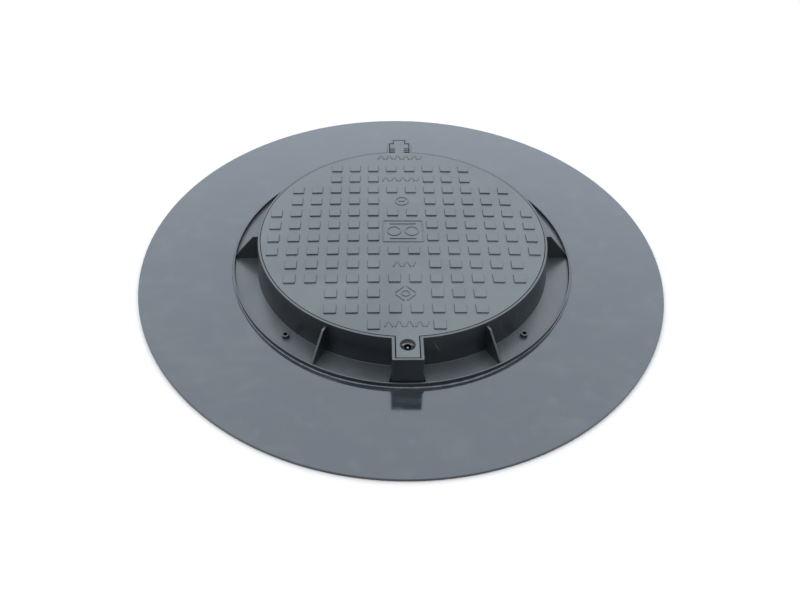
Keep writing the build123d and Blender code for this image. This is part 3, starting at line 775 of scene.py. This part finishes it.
def zigzag_row(y, count):
    """Plain zigzag border across the lid."""
    strokes = []
    for k in range(count):
        x = (k - (count - 1) / 2) * ZIGZAG_STEP
        lean = ZIGZAG_LEAN if k % 2 else -ZIGZAG_LEAN
        strokes.append(sign_bar(x, y, ZIGZAG_HEIGHT, 90.0 + lean))
    return strokes


def diamond(y):
    """Four bars in a diamond, with a small ring in the middle."""
    bars = []
    for side in (-1, 1):
        x = side * DIAMOND_SIDE_OFFSET
        bars.append(sign_bar(x, y + DIAMOND_SIDE_OFFSET, DIAMOND_SIDE_LENGTH, side * -45.0))
        bars.append(sign_bar(x, y - DIAMOND_SIDE_OFFSET, DIAMOND_SIDE_LENGTH, side * 45.0))
    return bars + [sign_ring(0.0, y, DIAMOND_RING_RADIUS)]


def make_signs():
    """Plain generic marks down the lid's centre line, in place of lettering and symbols."""
    signs = [sign_panel(PANEL_WIDTH, PANEL_DEPTH)]
    signs += [sign_ring(x, 0.0, SIGN_RING_RADIUS) for x in (-PANEL_RING_OFFSET, PANEL_RING_OFFSET)]
    signs += [sign_bar(0.0, y, PANEL_BAR_LENGTH) for y in (PANEL_BAR_OFFSET, -PANEL_BAR_OFFSET)]
    high = UPPER_SIGN_PITCH * PAD_PITCH
    signs += [sign_ring(0.0, high, SIGN_RING_RADIUS), sign_bar(0.0, high, UPPER_BAR_LENGTH)]
    for row, count in ZIGZAG_ROWS:
        signs += zigzag_row(row * PAD_PITCH, count)
    return signs + diamond(LOWER_SIGN_PITCH * PAD_PITCH)


def make_tab():
    """Lock tab: hollow block with a boss, a round key recess and the barrel's bore."""
    tab = prism(rounded([
        (-TAB_HALF_WIDTH, TAB_FRONT, TAB_CORNER_ROUND),
        (TAB_HALF_WIDTH, TAB_FRONT, TAB_CORNER_ROUND),
        (TAB_HALF_WIDTH, TAB_ROOT),
        (-TAB_HALF_WIDTH, TAB_ROOT),
    ]), soft_levels(STIFFENER_BOTTOM, LID_EDGE_TOP))
    inner = TAB_HALF_WIDTH - TAB_SKIRT
    cut_bottom = STIFFENER_BOTTOM - OVERLAP
    cut(tab, prism(rectangle(-inner, inner, TAB_FRONT + TAB_SKIRT, TAB_ROOT + OVERLAP, OVERLAP),
                   [(cut_bottom, 0.0), (LID_EDGE_TOP - TAB_PLATE, 0.0)]))
    add(tab, prism(circle(0, LOCK.y, LOCK_BOSS_RADIUS, BORE_SEGMENTS),
                   soft_levels(STIFFENER_BOTTOM, LID_EDGE_TOP - OVERLAP, FINE_EDGE, 0.0)))
    cut(tab, prism(circle(0, LOCK.y, BARREL_BORE_RADIUS, BORE_SEGMENTS),
                   [(cut_bottom, 0.0), (LID_EDGE_TOP, 0.0)]))
    cut(tab, prism(circle(0, LOCK.y, BARREL_SEAT_RADIUS, RECESS_SEGMENTS),
                   [(BARREL_SEAT_Z, 0.0), (LID_EDGE_TOP, 0.0)]))
    cut(tab, prism(circle(0, LOCK.y, KEY_HOLE_RADIUS, RECESS_SEGMENTS),
                   cutter_levels(KEY_RECESS_FLOOR, LID_EDGE_TOP)))
    return tab


def make_tongue():
    """Hinge tongue: finned neck, tail, wide head with a rounded rear edge and the knuckle round the pin."""
    plate = prism(rounded(mirrored_outline([
        (NECK_HALF_WIDTH, TONGUE_ROOT),
        (NECK_HALF_WIDTH, HEAD_FRONT + OVERLAP),
        (TAIL_HALF_WIDTH, HEAD_FRONT + OVERLAP),
        (TAIL_HALF_WIDTH, TAIL_REAR, OVERLAP),
    ])), soft_levels(TONGUE_PLATE_BOTTOM, LID_EDGE_TOP))
    side = rounded([
        (HEAD_FRONT, TONGUE_PLATE_BOTTOM, FINE_EDGE),
        (HEAD_REAR, TONGUE_PLATE_BOTTOM, FINE_EDGE),
        (HEAD_REAR, LID_EDGE_TOP, HEAD_ROUND),
        (HEAD_FRONT, LID_EDGE_TOP, EDGE_ROUND),
    ])
    head = prism(side, soft_levels(-HEAD_HALF_WIDTH, HEAD_HALF_WIDTH, EDGE_ROUND, EDGE_ROUND), SIDEWAYS)
    neck = prism(rectangle(-NECK_HALF_WIDTH, NECK_HALF_WIDTH, TONGUE_ROOT, HEAD_FRONT + 2 * OVERLAP),
                 soft_levels(NECK_BOTTOM, LID_EDGE_TOP - OVERLAP, FINE_EDGE, 0.0))
    fin_levels = soft_levels(TONGUE_PLATE_BOTTOM, LID_EDGE_TOP, FINE_EDGE, FINE_EDGE)
    fins = []
    for front in FIN_FRONTS:
        outline = rectangle(-HEAD_HALF_WIDTH, HEAD_HALF_WIDTH, front, front + FIN_THICKNESS, FINE_EDGE)
        fins.append(prism(outline, fin_levels))
    add(plate, head, neck, joined(fins), cross_rod(KNUCKLE_RADIUS, HEAD_HALF_WIDTH - FINE_EDGE))
    return cut(plate, cross_rod(PIN_RADIUS + LID_PIN_CLEARANCE, HEAD_HALF_WIDTH + OVERLAP))


def make_lid():
    """The whole lid moulding."""
    body = lid_body()
    add(body, stiffener_bars("x"), stiffener_bars("y"))
    add(body, joined(make_pads() + make_signs()))
    return add(body, make_tab(), make_tongue())


# ---------------------------------------------------------------- materials
class Nodes:
    """Short way to write a material's node tree."""

    def __init__(self, name):
        self.material = bpy.data.materials.new(name)
        self.material.use_nodes = True
        self.tree = self.material.node_tree
        self.shader = self.tree.nodes["Principled BSDF"]
        self.place = self.new("ShaderNodeTexCoord").outputs["Object"]

    def new(self, kind, **settings):
        """A node with its settings."""
        node = self.tree.nodes.new(kind)
        for key, value in settings.items():
            setattr(node, key, value)
        return node

    def feed(self, socket, value):
        """Link an output, or set a plain value."""
        if isinstance(value, bpy.types.NodeSocket):
            self.tree.links.new(value, socket)
        else:
            socket.default_value = value

    def stretched(self, scale, turn=0.0):
        """Object coordinates, turned about Z and scaled by axis."""
        mapping = self.new("ShaderNodeMapping", vector_type="POINT")
        self.feed(mapping.inputs["Vector"], self.place)
        mapping.inputs["Rotation"].default_value = (0.0, 0.0, radians(turn))
        mapping.inputs["Scale"].default_value = scale
        return mapping.outputs["Vector"]

    def noise(self, scale, detail=3.0, vector=None, distortion=0.0):
        """Noise from 0 to 1. Scale is in features per metre."""
        node = self.new("ShaderNodeTexNoise")
        self.feed(node.inputs["Vector"], vector or self.place)
        node.inputs["Scale"].default_value = scale
        node.inputs["Detail"].default_value = detail
        node.inputs["Distortion"].default_value = distortion
        return node.outputs["Fac"]

    def band(self, value, low, high, to_low=0.0, to_high=1.0):
        """Value moved from one range to another, with smooth ends."""
        node = self.new("ShaderNodeMapRange", interpolation_type="SMOOTHSTEP")
        self.feed(node.inputs["Value"], value)
        node.inputs["From Min"].default_value = low
        node.inputs["From Max"].default_value = high
        node.inputs["To Min"].default_value = to_low
        node.inputs["To Max"].default_value = to_high
        return node.outputs["Result"]

    def math(self, operation, a, b):
        """Sum, product, greater of two and so on."""
        node = self.new("ShaderNodeMath", operation=operation)
        self.feed(node.inputs[0], a)
        self.feed(node.inputs[1], b)
        return node.outputs["Value"]

    def mix(self, share, a, b):
        """Colour between two."""
        node = self.new("ShaderNodeMix", data_type="RGBA")
        self.feed(node.inputs["Factor"], share)
        self.feed(node.inputs["A"], a)
        self.feed(node.inputs["B"], b)
        return node.outputs["Result"]

    def bump(self, height, distance, normal=None):
        """Bump of a height field. Distance is in metres."""
        node = self.new("ShaderNodeBump")
        node.inputs["Strength"].default_value = 1.0
        node.inputs["Distance"].default_value = distance
        self.feed(node.inputs["Height"], height)
        if normal is not None:
            self.feed(node.inputs["Normal"], normal)
        return node.outputs["Normal"]

    def scratches(self, turns, density, length=7.0, thinness=420.0):
        """Thin faint lines in several directions, from 0 to 1."""
        total = None
        for i, turn in enumerate(turns):
            vector = self.stretched((length, thinness, length), turn)
            line = self.band(self.noise(1.0 + 0.13 * i, 1.0, vector), 1 - density, 1 - density + 0.05)
            patch = self.band(self.noise(5.0 + i, 2.0), 0.5, 0.62)
            line = self.math("MULTIPLY", line, patch)
            total = line if total is None else self.math("MAXIMUM", total, line)
        return total

    def finish(self, colour, roughness, normal, **values):
        """Connect the shader and return the material."""
        self.feed(self.shader.inputs["Base Color"], colour)
        self.feed(self.shader.inputs["Roughness"], roughness)
        if normal is not None:
            self.feed(self.shader.inputs["Normal"], normal)
        for key, value in values.items():
            self.shader.inputs[key.replace("_", " ")].default_value = value
        return self.material


def rgb(red, green, blue):
    """Opaque linear colour."""
    return (red, green, blue, 1.0)


PLASTIC_IOR = 1.5
SHEET_CLEAN = rgb(0.0055, 0.0072, 0.0093)
SHEET_FILM = rgb(0.0118, 0.0136, 0.0145)
SHEET_DUST = rgb(0.024, 0.026, 0.027)
SHEET_SCRATCH = rgb(0.024, 0.027, 0.03)
WELD_DARK = rgb(0.008, 0.010, 0.011)
WELD_LIGHT = rgb(0.024, 0.026, 0.027)
FRAME_DARK = rgb(0.0018, 0.0026, 0.0032)
FRAME_LIGHT = rgb(0.0036, 0.0048, 0.0052)
LID_DARK = rgb(0.0085, 0.0108, 0.0118)
LID_LIGHT = rgb(0.0215, 0.0255, 0.0225)
# Colour of the painted light that makes up-facing moulded faces uniformly lighter.
MOULDING_PAINTED_TOP_LIGHT = rgb(0.042, 0.045, 0.042)
MOULDING_DUST = rgb(0.045, 0.047, 0.045)
MOULDING_SCRATCH = rgb(0.04, 0.042, 0.042)
RUBBER_DARK = rgb(0.008, 0.008, 0.008)
RUBBER_BLOOM = rgb(0.03, 0.03, 0.029)
ZINC_DULL = rgb(0.5, 0.5, 0.48)
ZINC_CLEAN = rgb(0.66, 0.65, 0.6)
GREASE_DULL = rgb(0.02, 0.02, 0.02)
GREASE_CLEAN = rgb(0.045, 0.045, 0.043)
BARREL_BRIGHT = rgb(0.13, 0.12, 0.125)
BARREL_WORN = rgb(0.09, 0.083, 0.086)
# The plug's two tones are painted shade: near-black metal standing in for the shaded key socket, varied at random.
PLUG_PAINTED_SHADE_LIGHTER = rgb(0.014, 0.013, 0.013)
PLUG_PAINTED_SHADE_DARKER = rgb(0.01, 0.0095, 0.0095)
# Painted shade laid over the front and middle of the lock, standing in for the shade of the key recess's front
# wall.
LOCK_PAINTED_SHADE = rgb(0.012, 0.0115, 0.0115)
KEY_PIN_PALE = rgb(0.11, 0.105, 0.105)
FLOOR_DARK = rgb(0.31, 0.285, 0.262)
FLOOR_LIGHT = rgb(0.318, 0.291, 0.267)


def gloss_sheet():
    """Extruded black sheet: glossy, gently uneven, with scuffs, wiping marks and a little dust."""
    n = Nodes("gloss_sheet")
    clouds = n.noise(8.0, 6.0, distortion=0.6)
    wipes = n.noise(12.0, 5.0, n.stretched((1.0, 3.2, 1.0), 35.0), 0.4)
    dust = n.band(n.noise(26.0, 6.0), 0.52, 0.8)
    scratch = n.scratches((12.0, 58.0, 97.0, 141.0), 0.27, 3.0, 520.0)
    film = n.math("MULTIPLY", n.band(clouds, 0.42, 0.66), n.band(wipes, 0.35, 0.7))
    colour = n.mix(film, SHEET_CLEAN, SHEET_FILM)
    colour = n.mix(n.math("MULTIPLY", dust, 0.35), colour, SHEET_DUST)
    colour = n.mix(n.math("MULTIPLY", scratch, 0.3), colour, SHEET_SCRATCH)
    rough = n.band(film, 0.0, 1.0, 0.1, 0.22)
    rough = n.math("ADD", rough, n.math("MULTIPLY", scratch, 0.08))
    rough = n.math("ADD", rough, n.math("MULTIPLY", dust, 0.05))
    normal = n.bump(n.noise(7.0, 2.0), 0.0007)
    normal = n.bump(n.noise(60.0, 2.0), 0.00002, normal)
    normal = n.bump(scratch, -0.000006, normal)
    return n.finish(colour, rough, normal, IOR=PLASTIC_IOR)


def weld_plastic():
    """Glossy re-melted plastic with fine flow ripples."""
    n = Nodes("weld_plastic")
    flow = n.noise(90.0, 3.0, distortion=0.8)
    colour = n.mix(n.band(flow, 0.35, 0.75), WELD_DARK, WELD_LIGHT)
    rough = n.band(n.noise(40.0, 3.0), 0.3, 0.7, 0.2, 0.36)
    normal = n.bump(flow, 0.0004)
    return n.finish(colour, rough, normal, IOR=PLASTIC_IOR)


def moulded_plastic(name, dark, light, painted_top_light, rough_low, rough_high, grain_depth):
    """Satin injection-moulded polymer: fine grain, cloudy sheen, rub marks, dust on up-facing faces, and up-facing
    faces painted uniformly lighter as painted light.
    """
    n = Nodes(name)
    clouds = n.noise(6.0, 5.0, distortion=0.5)
    speckle = n.noise(420.0, 2.0)
    grain = n.noise(1500.0, 2.0)
    dust = n.math("MULTIPLY", n.band(n.noise(19.0, 5.0), 0.5, 0.75), n.band(speckle, 0.4, 0.75))
    scratch = n.scratches((25.0, 80.0, 130.0), 0.3, 12.0, 500.0)
    facing = n.new("ShaderNodeSeparateXYZ")
    n.feed(facing.inputs["Vector"], n.new("ShaderNodeNewGeometry").outputs["Normal"])
    upward = n.band(facing.outputs["Z"], 0.7, 0.98)
    colour = n.mix(n.band(clouds, 0.36, 0.66), dark, light)
    # Painted light: up-facing faces are made uniformly lighter, standing in for the sky light that tops catch.
    colour = n.mix(n.math("MULTIPLY", upward, painted_top_light), colour, MOULDING_PAINTED_TOP_LIGHT)
    colour = n.mix(n.math("MULTIPLY", n.math("MULTIPLY", dust, upward), 0.4), colour, MOULDING_DUST)
    colour = n.mix(n.math("MULTIPLY", scratch, 0.5), colour, MOULDING_SCRATCH)
    rough = n.band(clouds, 0.3, 0.7, rough_low, rough_high)
    rough = n.math("ADD", rough, n.math("MULTIPLY", n.band(speckle, 0.3, 0.7), 0.05))
    rough = n.math("SUBTRACT", rough, n.math("MULTIPLY", scratch, 0.08))
    normal = n.bump(n.noise(14.0, 2.0), 0.0005)
    normal = n.bump(grain, grain_depth, normal)
    normal = n.bump(speckle, grain_depth, normal)
    return n.finish(colour, rough, normal, IOR=PLASTIC_IOR)


def rubber():
    """Black sealing rubber with a chalky bloom."""
    n = Nodes("gasket_rubber")
    bloom = n.noise(35.0, 5.0)
    colour = n.mix(n.band(bloom, 0.45, 0.75), RUBBER_DARK, RUBBER_BLOOM)
    rough = n.band(bloom, 0.3, 0.7, 0.6, 0.85)
    return n.finish(colour, rough, n.bump(n.noise(900.0, 3.0), 0.00004), IOR=PLASTIC_IOR)


def plated_steel(name, dull, clean):
    """Plated steel: fine brushing, cloudy passivation and dull spots."""
    n = Nodes(name)
    clouds = n.noise(120.0, 4.0)
    brushing = n.noise(1.0, 2.0, n.stretched((60.0, 2600.0, 60.0)))
    colour = n.mix(n.band(clouds, 0.35, 0.7), dull, clean)
    rough = n.math("ADD", n.band(clouds, 0.3, 0.7, 0.26, 0.42), n.band(brushing, 0.3, 0.7, 0.0, 0.08))
    return n.finish(colour, rough, n.bump(brushing, 0.00002), Metallic=1.0)


def lock_metal(name, bright, worn, painted_shade, rough_low, rough_high):
    """Metal with lathe rings about the lock's axis, with painted shade over its front and middle that fades out
    towards the hinge so the rear shows as a lit crescent, pale at the centre.
    """
    n = Nodes(name)
    shifted = n.new("ShaderNodeVectorMath", operation="SUBTRACT")
    n.feed(shifted.inputs[0], n.place)
    shifted.inputs[1].default_value = (0.0, LOCK.y * MM, 0.0)
    flat = n.new("ShaderNodeVectorMath", operation="MULTIPLY")
    n.feed(flat.inputs[0], shifted.outputs["Vector"])
    flat.inputs[1].default_value = (1.0, 1.0, 0.0)
    reach = n.new("ShaderNodeVectorMath", operation="LENGTH")
    n.feed(reach.inputs[0], flat.outputs["Vector"])
    rings = n.new("ShaderNodeTexWave", wave_type="RINGS", rings_direction="Z")
    n.feed(rings.inputs["Vector"], shifted.outputs["Vector"])
    rings.inputs["Scale"].default_value = 900.0
    rings.inputs["Distortion"].default_value = 0.6
    wear = n.noise(260.0, 4.0)
    split = n.new("ShaderNodeSeparateXYZ")
    n.feed(split.inputs["Vector"], shifted.outputs["Vector"])
    # Painted shade: the lock is darkened over its front and middle and keeps its own colour towards the hinge, as
    # a lit rear crescent.
    lit_rear_share = n.band(split.outputs["Y"], PAINTED_SHADE_FADE_START * MM, PAINTED_SHADE_FADE_END * MM)
    colour = n.mix(n.band(wear, 0.4, 0.75), bright, worn)
    colour = n.mix(lit_rear_share, painted_shade, colour)
    centre = n.band(reach.outputs["Value"], KEY_PIN_RADIUS * MM, KEY_PIN_RADIUS * MM * 1.2, 1.0, 0.0)
    colour = n.mix(centre, colour, KEY_PIN_PALE)
    rough = n.band(wear, 0.3, 0.7, rough_low, rough_high)
    return n.finish(colour, rough, n.bump(rings.outputs["Fac"], 0.000012), Metallic=1.0)


# ---------------------------------------------------------------- carried-over CAD nodes
STEEL_EDGE = 0.25
LOCK_EDGE = 0.3
RUBBER_EDGE = 0.2
BEVEL_SEGMENTS = 2
BEVEL_ANGLE = 50  # edges sharper than this many degrees are rounded


def dress_node(node, material, edge):
    """New material and lightly rounded edges for a CAD node that stays."""
    piece = frame["nodes"][node]
    if not piece.material_slots:
        piece.data.materials.append(material)
    for slot in piece.material_slots:
        slot.link = "OBJECT"
        slot.material = material
    bevel = piece.modifiers.new("soft_edges", "BEVEL")
    bevel.width = edge * MM
    bevel.segments = BEVEL_SEGMENTS
    bevel.limit_method = "ANGLE"
    bevel.angle_limit = radians(BEVEL_ANGLE)


# ---------------------------------------------------------------- stage
VIEW_AZIMUTH = -2.6
VIEW_ELEVATION = 44.42
VIEW_ROLL = 1.66
VIEW_DISTANCE = 1.7574
VIEW_AIM = Vector((-0.0085, -0.1382, PLATE_TOP * MM))
LENS_MM = 35.65
SENSOR_MM = 36.0
FLOOR_HALF_SIZE = 14000.0
FLOOR_DEPTH = 0.3  # below the plate's underside
SKY_STRENGTH = 4.1
SKY_TINT = Vector((0.9, 1.0, 1.12))
# Height, from the horizon to straight up, and brightness there.
SKY_STOPS = [(0.0, 0.24), (0.26, 0.3), (0.5, 0.86), (0.8, 0.98), (1.0, 1.0)]
LAMP_PLACE = (-1.9, -1.2, 2.6)
LAMP_SIZE = 1.6
LAMP_POWER = 18.0


def make_camera():
    """Camera above the lock side, slightly left and slightly rolled."""
    azimuth = radians(VIEW_AZIMUTH)
    elevation = radians(VIEW_ELEVATION)
    roll = radians(VIEW_ROLL)
    back = Vector((sin(azimuth) * cos(elevation), -cos(azimuth) * cos(elevation), sin(elevation)))
    level = Vector((cos(azimuth), sin(azimuth), 0.0))
    upright = back.cross(level)
    right = cos(roll) * level + sin(roll) * upright
    up = cos(roll) * upright - sin(roll) * level
    data = bpy.data.cameras.new("camera")
    data.lens = LENS_MM
    data.sensor_width = SENSOR_MM
    camera = bpy.data.objects.new("camera", data)
    place = VIEW_AIM + back * VIEW_DISTANCE
    camera.matrix_world = Matrix.Translation(place) @ Matrix((right, up, back)).transposed().to_4x4()
    bpy.context.scene.collection.objects.link(camera)
    bpy.context.scene.camera = camera


def make_floor():
    """Plain pale floor."""
    quarters = [(-1, -1), (1, -1), (1, 1), (-1, 1)]
    points = [(x * FLOOR_HALF_SIZE, y * FLOOR_HALF_SIZE, -FLOOR_DEPTH) for x, y in quarters]
    floor = build("floor", points, [(0, 1, 2, 3)])
    n = Nodes("floor_paint")
    colour = n.mix(n.band(n.noise(3.0, 4.0), 0.3, 0.7), FLOOR_DARK, FLOOR_LIGHT)
    floor.data.materials.append(n.finish(colour, 0.9, None, IOR=1.3))


def make_sky():
    """Soft studio dome: bright overhead, calmer towards the horizon."""
    world = bpy.data.worlds.new("studio")
    bpy.context.scene.world = world
    world.use_nodes = True
    tree = world.node_tree
    background = tree.nodes["Background"]
    place = tree.nodes.new("ShaderNodeTexCoord")
    split = tree.nodes.new("ShaderNodeSeparateXYZ")
    ramp = tree.nodes.new("ShaderNodeValToRGB")
    tree.links.new(place.outputs["Generated"], split.inputs["Vector"])
    tree.links.new(split.outputs["Z"], ramp.inputs["Fac"])
    tree.links.new(ramp.outputs["Color"], background.inputs["Color"])
    while len(ramp.color_ramp.elements) < len(SKY_STOPS):
        ramp.color_ramp.elements.new(0.5)
    for element, (height, brightness) in zip(ramp.color_ramp.elements, SKY_STOPS):
        element.position = height
        element.color = rgb(*(SKY_TINT * brightness))
    background.inputs["Strength"].default_value = SKY_STRENGTH


def make_key_light():
    """One broad soft lamp, high on the left and in front."""
    data = bpy.data.lights.new("key_light", "AREA")
    data.shape = "DISK"
    data.size = LAMP_SIZE
    data.energy = LAMP_POWER
    lamp = bpy.data.objects.new("key_light", data)
    lamp.location = LAMP_PLACE
    lamp.rotation_mode = "QUATERNION"
    lamp.rotation_quaternion = lamp.location.to_track_quat("Z", "Y")
    bpy.context.scene.collection.objects.link(lamp)


# ---------------------------------------------------------------- the whole scene
def main():
    """Camera, stage, pieces and materials."""
    bpy.context.scene.view_settings.view_transform = "Standard"
    make_camera()
    make_floor()
    make_sky()
    make_key_light()
    sheet = gloss_sheet()
    weld = weld_plastic()
    frame_look = moulded_plastic("frame_plastic", FRAME_DARK, FRAME_LIGHT, painted_top_light=0.2,
                                 rough_low=0.28, rough_high=0.42, grain_depth=0.00002)
    lid_look = moulded_plastic("lid_plastic", LID_DARK, LID_LIGHT, painted_top_light=0.18,
                               rough_low=0.31, rough_high=0.43, grain_depth=0.00003)
    zinc = plated_steel("zinc_steel", ZINC_DULL, ZINC_CLEAN)
    greased = plated_steel("greased_steel", GREASE_DULL, GREASE_CLEAN)
    # Barrel: its own metal tones, with painted shade over its front and middle.
    barrel_metal_painted_shade = lock_metal("barrel_metal_painted_shade", BARREL_BRIGHT, BARREL_WORN, LOCK_PAINTED_SHADE,
                              rough_low=0.28, rough_high=0.42)
    # Plug: painted near-black as painted shade for the key socket, with a pale key pin at the centre.
    plug_painted_socket_shade = lock_metal("plug_painted_socket_shade", PLUG_PAINTED_SHADE_LIGHTER, PLUG_PAINTED_SHADE_DARKER, LOCK_PAINTED_SHADE,
                            rough_low=0.3, rough_high=0.45)
    gasket = rubber()

    finish_piece(make_skirt_plate(), "skirt_sheet", "frame_assembly", sheet, "skirt_plastic", "skirt_plate")
    outer_bead = make_bead(LIP_OUTER_RADIUS, BEAD_WIDTH, BEAD_HEIGHT, seed=3.0, unevenness=1.0)
    finish_piece(outer_bead, "outer_weld", "frame_assembly", weld, "weld_plastic", "weld_bead")
    inner_bead = make_bead(FLANGE_INNER_RADIUS, -INNER_BEAD_SIZE, INNER_BEAD_SIZE, seed=8.0, unevenness=0.5)
    finish_piece(inner_bead, "inner_weld", "frame_assembly", weld, "weld_plastic", "inner_weld_bead")
    finish_piece(make_frame(), "frame_moulding", "frame_assembly", frame_look, "frame_plastic", "frame")
    finish_piece(make_lid(), "lid_moulding", "lid", lid_look, "lid_plastic", "lid")
    dress_node("hinge_plugs", frame_look, STEEL_EDGE)
    dress_node("hinge_pin", greased, STEEL_EDGE)
    for node in ("lock_nut", "lock_cam", "cam_washer", "cam_screw"):
        dress_node(node, zinc, STEEL_EDGE)
    dress_node("lock_barrel", barrel_metal_painted_shade, LOCK_EDGE)
    dress_node("lock_plug", plug_painted_socket_shade, LOCK_EDGE)
    for node in ("lid_gasket", "lock_gasket"):
        dress_node(node, gasket, RUBBER_EDGE)


main()
